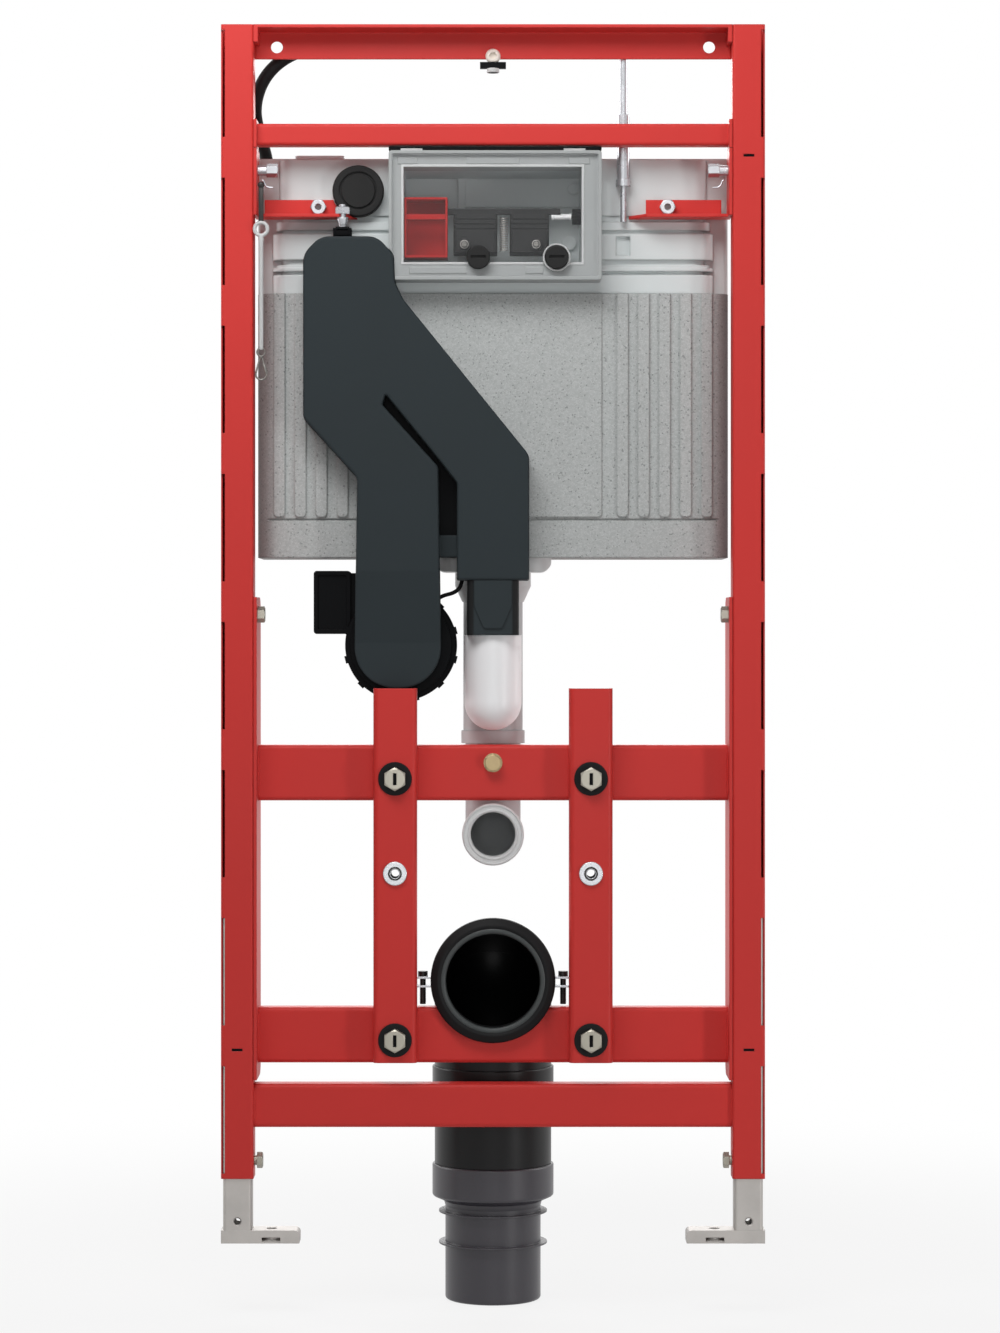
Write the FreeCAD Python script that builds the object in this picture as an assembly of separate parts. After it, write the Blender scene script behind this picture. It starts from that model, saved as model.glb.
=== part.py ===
"""Wall hung toilet frame: a steel installation frame with a concealed cistern,
flush pipe, drain bend and an air extraction duct, on two telescoping legs.

Millimetres, +Z up. The front looks towards -Y. The origin is on the sole of the
left foot, under the middle of the left leg. The model is laid out about the
middle of the frame, with depths measured back from the columns' front plane and
heights from the floor, and is moved to the origin when it is written.
"""
import FreeCAD, Part
import os
from math import cos, pi, radians, sin, sqrt, tan

Vec = FreeCAD.Vector
UP = Vec(0, 0, 1)
DOWN = Vec(0, 0, -1)
FRONT = Vec(0, -1, 0)
BACK = Vec(0, 1, 0)

# Frame
FRAME_WIDTH = 500.0
FRAME_HEIGHT = 1120.0
COLUMN_WIDTH = 30.0
COLUMN_DEPTH = 30.0
COLUMN_WALL = 1.5
COLUMN_CORNER = 2.5
COLUMN_FOOT = 59.5
SLOT_PITCH = 136.0
SLOT_LENGTH = 98.5
SLOT_REACH = 3.7
SLOT_FIRST = 54.2
MARK_LENGTH = 10.0
MARK_HEIGHT = 2.5
MARK_DEPTH = 0.6
MARK_LOW = 178.0
MARK_DROP = 120.4

# Telescoping legs
LEG_CLEARANCE = 0.3
LEG_WALL = 2.0
LEG_CORNER = 1.2
LEG_OVERLAP = 270.0
LEG_HOLE_RADIUS = 3.0
LEG_HOLE_RIM = 4.2
LEG_HOLE_HEIGHT = 20.0
SHOE_LENGTH = 72.0
SHOE_HEIGHT = 12.0
SHOE_WALL = 2.2
SHOE_TOE = 4.5
SHOE_SLOT_LENGTH = 17.0
SHOE_SLOT_HEIGHT = 4.3
SHOE_SLOT_BOTTOM = 1.1
FLOOR_HOLE_RADIUS = 5.0
FLOOR_HOLE_INSET = 46.0
LEG_SCREW_HEIGHT = 75.0
LEG_SCREW_NECK_RADIUS = 4.7
LEG_SCREW_NECK = 2.5
LEG_SCREW_FLATS = 13.0
LEG_SCREW_HEAD = 5.5
LEG_SCREW_SHANK = 3.0

# Top rail and upper rail
TOP_FLANGE = 3.0
TOP_WEB = 2.5
TOP_BEND = 1.5
TOP_WEB_HEIGHT = 28.0
TOP_TAB_WIDTH = 4.0
TOP_TAB_HEIGHT = 16.0
WALL_HOLE_INSET = 20.0
WALL_HOLE_RADIUS = 5.5
WALL_HOLE_DROP = 17.0
UPPER_RAIL_SIZE = 20.0
UPPER_RAIL_WALL = 2.0
UPPER_RAIL_CORNER = 3.0
UPPER_RAIL_FRONT = 8.0
UPPER_RAIL_DROP = 100.0
END_PLATE = 3.0
END_PLATE_MARGIN = 3.0

# Side plates, mounting rails and bottom rail
SIDE_PLATE = 3.0
SIDE_PLATE_DEPTH = 62.0
SIDE_PLATE_CORNER = 14.0
SIDE_PLATE_BOTTOM = 150.0
SIDE_PLATE_TOP = 594.0
RAIL_HEIGHT = 51.5
RAIL_DEPTH = 20.0
RAIL_WALL = 2.5
RAIL_CORNER = 4.0
RAIL_FRONT = 24.0
UPPER_MOUNTING_HEIGHT = 431.7
LOWER_MOUNTING_HEIGHT = 189.2
BOTTOM_RAIL_HEIGHT = 40.0
BOTTOM_RAIL_DEPTH = 24.0
BOTTOM_RAIL_FRONT = 6.0
BOTTOM_RAIL_MIDDLE = 126.0

# Mounting bars with their bolts and the bowl's stud sleeves
BAR_SPACING = 180.0
BAR_WIDTH = 40.0
BAR_WALL = 3.0
BAR_DRILL = 10.0
BAR_CORNER = 5.0
BAR_PROUD = 1.0
BAR_BOTTOM = 166.0
BAR_TOP = 510.0
BAR_BOLT_HEIGHTS = (187.0, 427.0)
BAR_BOLT_RADIUS = 5.0
BAR_BOLT_FLATS = 19.0
BAR_BOLT_HEAD = 7.5
BAR_BOLT_SLOT_WIDTH = 3.3
BAR_BOLT_SLOT_LENGTH = 11.0
BAR_BOLT_SLOT_DEPTH = 3.0
BAR_WASHER_RADIUS = 15.5
BAR_WASHER = 2.0
WASHER_EDGE = 0.8
BOLT_CLEARANCE = 0.4
STUD_HEIGHT = 340.0
STUD_FLANGE_RADIUS = 11.0
STUD_FLANGE = 2.5
STUD_SLEEVE_RADIUS = 6.4
STUD_BORE_RADIUS = 4.25

# Cistern
TANK_DROP = 244.0
TANK_HEIGHT = 127.0
TANK_SIDE_GAP = 1.0
TANK_FACE_INSET = 21.0
TANK_BAND_INSET = 15.0
TANK_BAND_PROUD = 2.0
TANK_FRONT = 42.0
TANK_STEP = 54.0
TANK_BACK = 146.0
TANK_CORNER = 12.0
TANK_BACK_CORNER = 4.0
TANK_LAYERS = ((0.0, 17.6, 1.0), (20.9, 24.2, 1.0), (24.2, 26.9, 0.5), (31.6, 55.7, 1.0), (59.0, 66.9, 0.5),
               (72.5, 125.0, 0.0))
TANK_GRIP_LEFT = -184.0
TANK_GRIP_RIGHT = -138.5
TANK_GRIP_BACK = 100.0
TANK_GRIP_RISE = 2.0
TIE_POCKET_HALF = 6.5
TIE_POCKET_DEPTH = 2.0
TIE_POCKET_BOTTOM = 35.5
TIE_POCKET_TOP = 53.0
JACKET_FRONT = 38.0
JACKET_BOTTOM = 631.0
JACKET_CORNER = 16.0
JACKET_GROOVE_RISE = 36.0
JACKET_GROOVE = 1.5
RIB_COUNT = 5
RIB_PITCH = 19.5
RIB_WIDTH = 10.5
RIB_INSET = 15.5
RIB_RAISE = 2.5
RIB_CORNER = 4.0
RIB_RISE = 37.5
PANEL_INSET = 118.0
PANEL_RAISE = 1.5

# Inspection opening; its heights are measured up from the tank's lower edge
HATCH_LEFT = -96.0
HATCH_RIGHT = 100.0
HATCH_RISE = 10.0
HATCH_HEIGHT = 119.0
HATCH_FRONT = 6.0
HATCH_CORNER = 3.0
HATCH_RIM = 3.0
HATCH_LEFT_SIDE = 13.7
HATCH_RIGHT_SIDE = 18.4
HATCH_SILL = 16.5
HATCH_HEAD = 14.8
HATCH_DEEP = 60.0
COVER_THICK = 2.5
COVER_CLEARANCE = 0.3
COVER_INSET = 1.0
PAD_RAISE = 1.0
PAD_GAP = 0.2
TOP_PADS = ((-87.7, -69.5), (-24.4, 24.3), (70.1, 89.1))
BOTTOM_PADS = ((-77.0, -24.4), (30.0, 46.0))
PAD_HEIGHT = 6.0
PAD_INSET = 6.0
SEAL_FRONT = 8.0
SEAL_BACK = 28.0
SEAL_HEIGHT = 3.7
KNOB_PLACES = (-13.5, 58.6)
KNOB_RISE = 30.4
KNOB_RADIUS = 10.8
KNOB_HEAD = 6.0
KNOB_EDGE = 1.2
KNOB_STEM_RADIUS = 5.0
KNOB_STEM = 6.0
KNOB_SLOT_LENGTH = 14.0
KNOB_SLOT_WIDTH = 3.0
KNOB_SLOT_DEPTH = 2.0

# Flush mechanism behind the cover
TRAY_GAP = 0.5
TRAY_RIGHT = -42.0
TRAY_RISE = 31.4
TRAY_HEIGHT = 55.5
TRAY_FRONT = 16.0
TRAY_DEPTH = 30.0
TRAY_WALL = 2.0
TRAY_BAR_RISE = 66.6
TRAY_BAR_HEIGHT = 4.8
TRAY_BAR_DEPTH = 4.0
LEVER_RIGHT = 62.4
LEVER_RISE = 72.0
LEVER_HEIGHT = 5.3
LEVER_DEPTH = 25.0
LEVER_THICK = 6.0
WHEEL_WIDTH = 8.0
WHEEL_RADIUS = 7.4
WHEEL_RIBS = 14
WHEEL_RIB_RADIUS = 0.9
WHEEL_GAP = 0.4
WHEEL_AXLE_RADIUS = 2.0
WHEEL_AXLE = 24.0
VALVE_BLOCKS = ((-36.6, 4.1), (15.5, 51.8))
VALVE_BOSS_X = (-26.4, 39.9)
VALVE_BOSS_RISE = 43.7
VALVE_BOSS_RADIUS = 6.0
VALVE_BOSS = 1.2
VALVE_RISE = 36.7
VALVE_FRONT = 20.0
VALVE_BACK = 60.0
VALVE_CORNER = 4.0
VALVE_RIBS = 3
VALVE_RIB = 1.4
POCKET_RIB_LEFT = -33.0
POCKET_RIB_RIGHT = -26.0
POCKET_RIB = 4.0
POCKET_PANEL_RISE = 86.9
POCKET_PANEL = 3.0
POCKET_BOSSES = ((76.1, 104.2, 5.5), (72.0, 53.6, 7.0))

# Blanking plug on the tank
PLUG_X = -125.0
PLUG_RISE = 94.7
PLUG_RADIUS = 23.8
PLUG_DISC_RADIUS = 15.8
PLUG_THICK = 11.0
PLUG_GROOVE = 2.0

# Brackets that carry the cistern
BRACKET_INNER = 142.0
BRACKET_TIP = 126.0
BRACKET_RISE = 69.0
BRACKET_ARM = 18.0
BRACKET_ARM_INSET = 8.0
BRACKET_RAIL_GAP = 0.5
BRACKET_PLUG_GAP = 0.5
BRACKET_PLATE = 3.0
BRACKET_LIP = 24.0
BRACKET_NUT_INSET = 20.0
BRACKET_NUT_RISE = 80.0
BRACKET_NUT_FLATS = 13.3
BRACKET_NUT_HOLE = 3.0
BRACKET_NUT = 6.0
SIDE_BOLT_RADIUS = 4.9
SIDE_BOLT_BARREL = 8.0
SIDE_BOLT_FLATS = 11.0
SIDE_BOLT_HEAD = 10.5
SIDE_BOLT_SHANK = 3.4
SIDE_BOLT_DEPTH = 20.0
SIDE_BOLT_RISE = 112.0

# Extraction duct and fan
DUCT_FRONT = 5.0
DUCT_RISE = 50.0
DUCT_LEFT = -174.8
DUCT_GAP = 0.5
DUCT_ROUND = 2.0
DUCT_SLANT_TOP = 618.0
DUCT_SLANT_BOTTOM = 552.0
DUCT_DISC_FRONT = 13.0
DUCT_LEG_LEFT = -127.4
DUCT_LEG_RIGHT = -48.4
DUCT_WEB_RISE = 20.0
DUCT_WEB_FRONT = 20.0
# The duct's corners from the front: x, a drop below its top or a share of the jacket's height, and a radius
DUCT_HEAD = ((-159.1, 0.0, 20.0), (-106.5, 0.0, 20.0), (-91.5, 17.0, 10.0), (-90.5, 42.0, 10.0), (-83.0, 57.5, 10.0))
DUCT_RIGHT_SHOULDER = (0.384, 12.0)
DUCT_FORK = ((-47.0, 0.351, 6.0), (-99.0, 0.612, 1.2), (-102.0, 0.571, 3.0), (-50.6, 0.339, 8.0))
DUCT_FORK_SHOULDER = (0.278, 8.0)
DUCT_WAIST = (-125.0, 0.298, 10.0)
DUCT_HIP = (0.522, 10.0)
DUCT_LEFT_SHOULDER = (16.4, 20.0)
DUCT_END_CORNER = 1.5
FAN_OFFSET = 2.3
FAN_HEIGHT = 549.7
FAN_RADIUS = 52.0
FAN_LUGS = 12
FAN_LUG = 1.7
FAN_LUG_WIDTH = 7.0
FAN_LUG_DEPTH = 6.0
FAN_LENGTH = 40.0
FAN_NECK = 8.0
FAN_NECK_INSET = 5.0
FAN_HUB_RADIUS = 20.0
FAN_HUB = 8.0
POWER_LEFT = -167.0
POWER_RIGHT = -132.6
POWER_BOTTOM = 560.0
POWER_TOP = 618.8
POWER_DEPTH = 26.0
POWER_SETBACK = 14.0
POWER_RECESS = 4.0
POWER_CORNER = 3.0
POWER_NECK_INSET = 4.0
POWER_NECK_DEPTH = 16.0
POWER_NECK_REACH = 20.0
FAN_CABLE_RADIUS = 1.85
FAN_CABLE_SETBACK = 4.0
FAN_CABLE_ANGLE = 52.0
FAN_CABLE_END_X = -28.4
FAN_CABLE_BENDS = ((-34.4, 598.5), (-28.4, 607.0))
HANGER_X = -139.0
HANGER_DEPTH = 23.0
HANGER_BLOCK_RADIUS = 7.4
HANGER_BLOCK = 8.0
HANGER_NECK_RADIUS = 3.2
HANGER_CONE_RADIUS = 5.3
HANGER_NUT_FLATS = 13.0
HANGER_NUT = 6.5
HANGER_END = 9.0

# Duct outlet onto the flush pipe
CONNECTOR_WIDTH = 48.0
CONNECTOR_BOTTOM = 559.0
CONNECTOR_TOP = 609.7
CONNECTOR_FRONT = 8.0
CONNECTOR_CORNER = 5.0
CONNECTOR_LAP = 6.0
TONGUE = 1.5
TONGUE_HALF = 17.5
TONGUE_TIP_HALF = 8.5
TONGUE_WAIST = 586.0
TONGUE_BOTTOM = 565.0
CAP_RADIUS = 26.5
CAP_BOTTOM = 470.6
CAP_FRONT = 12.0

# Flush pipe
FLUSH_RADIUS = 27.8
FLUSH_WALL = 3.0
FLUSH_ELBOW_RADIUS = 25.8
FLUSH_FLARE_RADIUS = 29.7
FLUSH_FLARE_BOTTOM = 458.0
FLUSH_FLARE_TOP = 470.0
FLUSH_HEIGHT = 375.0
FLUSH_BEND = 31.0
FLUSH_FRONT = 17.0
FLUSH_RAIL_GAP = 1.0
FLUSH_LIP_RADIUS = 28.6
FLUSH_LIP = 3.0
FLUSH_MOUTH_RADIUS = 20.6
FLUSH_MOUTH_LENGTH = 18.0
FLANGE_HALF = 54.5
FLANGE_FRONT = 42.0
FLANGE_BACK = 122.0
FLANGE_CORNER = 20.0
FLANGE_EDGE = 10.0
FLANGE_HEIGHT = 13.0
NUT_NECK_RADIUS = 35.5
NUT_NECK_HEIGHT = 13.0
NUT_CONE_RADIUS = 28.8
NUT_CONE_HEIGHT = 15.0

# Drain
DRAIN_RADIUS = 55.0
DRAIN_WALL = 4.0
DRAIN_HEIGHT = 240.0
DRAIN_BEND = 61.0
DRAIN_RAIL_GAP = 2.0
DRAIN_FOOT = 61.0
DRAIN_COLLAR_RADIUS = 57.2
DRAIN_COLLAR_TOP = 153.0
DRAIN_COLLAR_BOTTOM = 126.0
DRAIN_COLLAR_EDGE = 1.0
DRAIN_JOINT = 132.0
RIM_FRONT = 13.0
RIM_LENGTH = 10.5
RIM_RADIUS = 57.7
RIM_MOUTH_RADIUS = 44.0
RIM_SLEEVE = 16.0
RIM_CHAMFER = 7.0
RIM_CHAMFER_DEPTH = 4.0
RIM_DISH = 3.0
STRAP_THICK = 1.5
STRAP_FRONT = 26.0
STRAP_WIDTH = 13.0
EAR_REACH = 75.0
EAR_GAP = 6.0
EAR_THICK = 2.0
EAR_DROP = 2.0
EAR_LAP = 2.0
CLAMP_SCREW_X = 65.0
CLAMP_SCREW_RADIUS = 2.7
CLAMP_HOLE_GAP = 0.3
CLAMP_HEAD_RADIUS = 4.5
CLAMP_HEAD = 4.7
CLAMP_SCREW_LENGTH = 25.8
ADAPTER_COLLAR_RADIUS = 57.2
ADAPTER_COLLAR_BOTTOM = 31.0
ADAPTER_CONE = 5.0
ADAPTER_CONE_RADIUS = 46.3
ADAPTER_RADIUS = 45.0
ADAPTER_WALL = 3.5
ADAPTER_BOTTOM = -67.0
ADAPTER_RING_RADIUS = 51.0
ADAPTER_RING = 1.5
ADAPTER_RING_HEIGHTS = (16.0, -13.5)

# Small fittings on the frame; the upper ones hang by their drops below the frame's top
TOP_BOLT_RADIUS = 7.0
TOP_BOLT_HEAD = 5.0
TOP_BOLT_DOME = 3.5
TOP_BOLT_SOCKET = 6.0
TOP_BOLT_SOCKET_DEPTH = 3.0
TOP_BOLT_DROP = 25.5
TOP_CLIP_WIDTH = 24.0
TOP_CLIP_DEPTH = 8.0
TOP_CLIP_DROP = 31.4
TOP_CLIP_HEIGHT = 5.6
TOP_POST_HALF = 4.0
TOP_STUB_RADIUS = 5.0
TOP_STUB = 4.0
RAIL_BOLT_FLATS = 14.5
RAIL_BOLT_HEIGHT = 441.0
RAIL_BOLT_HEAD = 7.0
RAIL_WASHER = 1.5
PLATE_BOLT_HEIGHT = 578.0
PLATE_BOLT_FLATS = 13.0
PLATE_BOLT_HEAD = 7.0
PLATE_BOLT_DEPTH = 15.0
HEX_TURN = 30.0
HEX_CHAMFER = 0.6
HEX_FACE = 0.95
TIE_X = 120.8
TIE_RAIL_GAP = 0.6
TIE_SLEEVE_RADIUS = 6.0
TIE_COLLAR_RADIUS = 7.0
TIE_COLLAR = 6.0
TIE_PIN_RADIUS = 2.85
TIE_PIN_RISE = 66.0
TIE_COLLAR_RISE = 99.0
TIE_ROD_RADIUS = 3.7
TIE_SLEEVE_OVER_RAIL = 21.0
TIE_NUT_RADIUS = 4.35
TIE_NUT = 6.4
TIE_NUT_DROP = 18.4
TIE_END_RADIUS = 3.5
TIE_END_DROP = 2.0
HOOK_STRAP_WIDTH = 5.4
HOOK_STRAP_RISE = 96.0
HOOK_STRAP_LENGTH = 34.0
HOOK_DEPTH = -3.5
HOOK_PEG_RADIUS = 2.4
HOOK_PEG_REACH = 4.0
HOOK_RING_DROP = 6.4
HOOK_RING_RADIUS = 6.2
HOOK_WIRE_RADIUS = 1.8
HOOK_ROD_RADIUS = 2.2
HOOK_ROD_LENGTH = 102.0
HOOK_BODY_LENGTH = 30.0
HOOK_BODY_WIDTH = 10.0
HOOK_EYE = 8.0
HOSE_RADIUS = 6.0
HOSE_GAP = 0.3
HOSE_ROUTE = ((92.0, 0.0, 16.0), (62.0, 0.0, 15.0), (32.0, 2.0, 21.0), (8.0, 6.0, 40.0), (-3.0, 14.0, 68.0))
HOSE_LAST_BEND = (-8.0, -12.0, 44.0)
HOSE_LAST_RUN = 20.0
ELBOW_RADIUS = 7.5
ELBOW_REACH = 12.0
ELBOW_RISE = 20.0
ELBOW_DEPTH = 80.0
ELBOW_NUT_FLATS = 17.0
ELBOW_ABOVE_BASE = 87.0
NICHE_HALF = 20.0
NICHE_RISE = 75.0

# Places worked out from the sizes above
HALF_WIDTH = FRAME_WIDTH / 2
COLUMN_X = HALF_WIDTH - COLUMN_WIDTH / 2
INNER_X = HALF_WIDTH - COLUMN_WIDTH
PLATE_X = INNER_X - SIDE_PLATE
SLOT_COUNT = int((FRAME_HEIGHT - COLUMN_FOOT - SLOT_FIRST - SLOT_LENGTH / 2) / SLOT_PITCH) + 1
LEG_GAP = COLUMN_WALL + LEG_CLEARANCE
SHOE_DEPTH = COLUMN_DEPTH - 2 * LEG_GAP
UPPER_RAIL_HEIGHT = FRAME_HEIGHT - UPPER_RAIL_DROP
RAIL_BACK = RAIL_FRONT + RAIL_DEPTH
BAR_X = BAR_SPACING / 2
TANK_BASE = FRAME_HEIGHT - TANK_DROP
TANK_TOP = TANK_BASE + TANK_HEIGHT
TANK_HALF = INNER_X - TANK_SIDE_GAP
PANEL_HALF = TANK_HALF - PANEL_INSET
TANK_FACE_HALF = INNER_X - TANK_FACE_INSET
TANK_BAND_HALF = INNER_X - TANK_BAND_INSET
RIB_BOTTOM = JACKET_BOTTOM + RIB_RISE
HATCH_BOTTOM = TANK_BASE + HATCH_RISE
HATCH_TOP = HATCH_BOTTOM + HATCH_HEIGHT
WINDOW_LEFT = HATCH_LEFT + HATCH_LEFT_SIDE
WINDOW_RIGHT = HATCH_RIGHT - HATCH_RIGHT_SIDE
WINDOW_BOTTOM = HATCH_BOTTOM + HATCH_SILL
WINDOW_TOP = HATCH_TOP - HATCH_HEAD
COVER_BACK = HATCH_FRONT + COVER_INSET + COVER_THICK
KNOB_HEIGHT = TANK_BASE + KNOB_RISE
POCKET_BACK = TANK_FRONT + HATCH_DEEP
LEVER_BOTTOM = TANK_BASE + LEVER_RISE
PLUG_HEIGHT = TANK_BASE + PLUG_RISE
BRACKET_BOTTOM = TANK_BASE + BRACKET_RISE
END_PLATE_HALF = UPPER_RAIL_SIZE / 2 + END_PLATE_MARGIN
BRACKET_SIDE_TOP = UPPER_RAIL_HEIGHT - END_PLATE_HALF - BRACKET_RAIL_GAP
BRACKET_NUT_X = BRACKET_INNER + BRACKET_NUT_INSET
BRACKET_NUT_HEIGHT = TANK_BASE + BRACKET_NUT_RISE
SIDE_BOLT_HEIGHT = TANK_BASE + SIDE_BOLT_RISE
DUCT_TOP = TANK_BASE + DUCT_RISE
FAN_X = (DUCT_LEG_LEFT + DUCT_LEG_RIGHT) / 2 + FAN_OFFSET
DUCT_DISC_RADIUS = (DUCT_LEG_RIGHT - DUCT_LEG_LEFT) / 2
FLUSH_AXIS = RAIL_BACK + FLUSH_RAIL_GAP + FLUSH_RADIUS
DRAIN_AXIS = RAIL_BACK + DRAIN_RAIL_GAP + DRAIN_RADIUS
STRAP_RADIUS = DRAIN_RADIUS + STRAP_THICK
TIE_DEPTH = UPPER_RAIL_FRONT + UPPER_RAIL_SIZE + TIE_RAIL_GAP + TIE_SLEEVE_RADIUS
FLANGE_BOTTOM = JACKET_BOTTOM - FLANGE_HEIGHT
NUT_BOTTOM = FLANGE_BOTTOM - NUT_NECK_HEIGHT - NUT_CONE_HEIGHT
BODY_SEAT = JACKET_FRONT - RIB_RAISE
HOOK_X = -(INNER_X - BRACKET_PLATE) + HOOK_STRAP_WIDTH / 2
HOOK_STRAP_TOP = TANK_BASE + HOOK_STRAP_RISE
HOOK_STRAP_BOTTOM = HOOK_STRAP_TOP - HOOK_STRAP_LENGTH
HOOK_RING_HEIGHT = HOOK_STRAP_BOTTOM - HOOK_RING_DROP
HOOK_ROD_BOTTOM = HOOK_RING_HEIGHT - HOOK_RING_RADIUS - HOOK_ROD_LENGTH
ELBOW_HEIGHT = TANK_BASE + ELBOW_ABOVE_BASE
TOP_BOLT_HEIGHT = FRAME_HEIGHT - TOP_BOLT_DROP
TOP_CLIP_TOP = FRAME_HEIGHT - TOP_CLIP_DROP
TOP_CLIP_BOTTOM = TOP_CLIP_TOP - TOP_CLIP_HEIGHT


# Shape helpers
def on_plane(plane, u, v, level):
    """Point (u, v) of a plane: XY seen from above, XZ from the front, YZ from the side."""
    if plane == "XY":
        return Vec(u, v, level)
    if plane == "XZ":
        return Vec(u, level, v)
    return Vec(level, u, v)


def outline(points, radii=0.0, plane="XY", level=0.0):
    """Closed wire through points, with a tangent arc of each corner's radius."""
    count = len(points)
    if not isinstance(radii, (list, tuple)):
        radii = [radii] * count
    corners = []
    for index in range(count):
        here = Vec(points[index][0], points[index][1], 0)
        before = Vec(points[index - 1][0], points[index - 1][1], 0)
        after = Vec(points[(index + 1) % count][0], points[(index + 1) % count][1], 0)
        if radii[index] <= 0:
            corners.append((here, None, here))
            continue
        to_before = (before - here).normalize()
        to_after = (after - here).normalize()
        half = to_before.getAngle(to_after) / 2
        back = radii[index] / tan(half)
        middle = here + (to_before + to_after).normalize() * (radii[index] / sin(half) - radii[index])
        corners.append((here + to_before * back, middle, here + to_after * back))
    edges = []
    for index in range(count):
        start, middle, end = corners[index]
        following = corners[(index + 1) % count][0]
        if middle is not None:
            arc = [on_plane(plane, p.x, p.y, level) for p in (start, middle, end)]
            edges.append(Part.Arc(*arc).toShape())
        if (following - end).Length > 1e-6:
            edges.append(Part.makeLine(on_plane(plane, end.x, end.y, level),
                                       on_plane(plane, following.x, following.y, level)))
    return Part.Wire(edges)


def prism(points, plane, start, end, radii=0.0):
    """Solid between two levels over an outline."""
    face = Part.Face(outline(points, radii, plane, start))
    return face.extrude(on_plane(plane, 0, 0, end - start))


def rectangle(u0, v0, u1, v1):
    return [(u0, v0), (u1, v0), (u1, v1), (u0, v1)]


def slab(x0, x1, y0, y1, z0, z1):
    return Part.makeBox(x1 - x0, y1 - y0, z1 - z0, Vec(x0, y0, z0))


def hollow(rect, wall, corner, plane, start, end):
    """Tube of rounded rectangular section."""
    u0, v0, u1, v1 = rect
    inner = rectangle(u0 + wall, v0 + wall, u1 - wall, v1 - wall)
    outer = prism(rectangle(*rect), plane, start, end, corner)
    return outer.cut(prism(inner, plane, start, end, max(corner - wall, 0.4)))


def aim(shape, base, axis):
    """Copy of a shape made along +Z at the origin, turned to an axis and moved to its base."""
    placed = shape.copy()
    placed.Placement = FreeCAD.Placement(base, FreeCAD.Rotation(UP, axis))
    return placed


def turned(profile, base, axis=UP, radii=0.0):
    """Solid of revolution of a closed (radius, height) profile."""
    face = Part.Face(outline(profile, radii, "XZ", 0.0))
    return aim(face.revolve(Vec(0, 0, 0), UP, 360), base, axis)


def rod(radius, base, axis, length):
    return Part.makeCylinder(radius, length, base, axis)


def hex_rod(flats, base, axis, length, turn=0.0):
    """Hexagonal rod, measured across its flats."""
    reach = flats / sqrt(3)
    corners = [(reach * cos(radians(60 * i + turn)), reach * sin(radians(60 * i + turn))) for i in range(6)]
    return aim(prism(corners, "XY", 0.0, length), base, axis)


def hex_head(flats, base, axis, height, turn=0.0):
    """Hexagon head with its outer corners turned off, as on a rolled bolt."""
    reach = flats / sqrt(3)
    face = HEX_FACE * flats / 2
    drop = HEX_CHAMFER * (reach - face)
    outside = reach + HEX_CHAMFER
    envelope = turned([(0, -1), (outside, -1), (outside, height - drop - HEX_CHAMFER ** 2), (face, height),
                       (0, height)], base, axis)
    return hex_rod(flats, base, axis, height, turn).common(envelope)


def fuse(shapes):
    return shapes[0].fuse(shapes[1:]).removeSplitter()


def rounded_path(points, shares=0.45):
    """Wire of straight runs joined by tangent arcs as large as the runs allow."""
    edges = []
    last = points[0]
    for index in range(1, len(points) - 1):
        here = points[index]
        before = (points[index - 1] - here)
        after = (points[index + 1] - here)
        run = min(before.Length, after.Length)
        before.normalize()
        after.normalize()
        half = before.getAngle(after) / 2
        back = shares * run
        radius = back * tan(half)
        middle = here + (before + after).normalize() * (radius / sin(half) - radius)
        edges.append(Part.makeLine(last, here + before * back))
        edges.append(Part.Arc(here + before * back, middle, here + after * back).toShape())
        last = here + after * back
    edges.append(Part.makeLine(last, points[-1]))
    return Part.Wire(edges)


def swept(path, start, direction, radius):
    """Round bar along a path."""
    ring = Part.Wire(Part.makeCircle(radius, start, direction))
    return path.makePipeShell([ring], True, False)


def bend_path(mouth, turn_depth, height, end, radius):
    """Path from a mouth at the front, back to a bend, then up or down to a height."""
    side = 1.0 if end > height else -1.0
    start = Vec(0, mouth, height)
    bend_start = Vec(0, turn_depth - radius, height)
    bend_middle = Vec(0, turn_depth - radius * (1 - sin(pi / 4)), height + side * radius * (1 - cos(pi / 4)))
    bend_end = Vec(0, turn_depth, height + side * radius)
    edges = [Part.makeLine(start, bend_start), Part.Arc(bend_start, bend_middle, bend_end).toShape(),
             Part.makeLine(bend_end, Vec(0, turn_depth, end))]
    return Part.Wire(edges)


# Frame
def column(side):
    """Column profile with a row of long slots along its outer front corner, and short
    marks pressed into its front."""
    middle = side * COLUMN_X
    rect = (middle - COLUMN_WIDTH / 2, 0, middle + COLUMN_WIDTH / 2, COLUMN_DEPTH)
    tube = hollow(rect, COLUMN_WALL, COLUMN_CORNER, "XY", COLUMN_FOOT, FRAME_HEIGHT)
    outer = side * HALF_WIDTH
    cuts = []
    for index in range(SLOT_COUNT):
        height = COLUMN_FOOT + SLOT_FIRST + index * SLOT_PITCH
        near, far = sorted((outer - side * SLOT_REACH, outer + side))
        cuts.append(slab(near, far, -1, SLOT_REACH, height - SLOT_LENGTH / 2, height + SLOT_LENGTH / 2))
    marks = [MARK_LOW]
    if side > 0:
        marks.append(FRAME_HEIGHT - MARK_DROP)
    for height in marks:
        cuts.append(slab(middle - MARK_LENGTH / 2, middle + MARK_LENGTH / 2, -1, MARK_DEPTH,
                         height - MARK_HEIGHT / 2, height + MARK_HEIGHT / 2))
    screw = side * (INNER_X - COLUMN_WALL)
    cuts.append(rod(LEG_SCREW_SHANK + BOLT_CLEARANCE, Vec(screw, COLUMN_DEPTH / 2, LEG_SCREW_HEIGHT),
                    Vec(side, 0, 0), 2 * COLUMN_WALL))
    return tube.cut(cuts)


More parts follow.
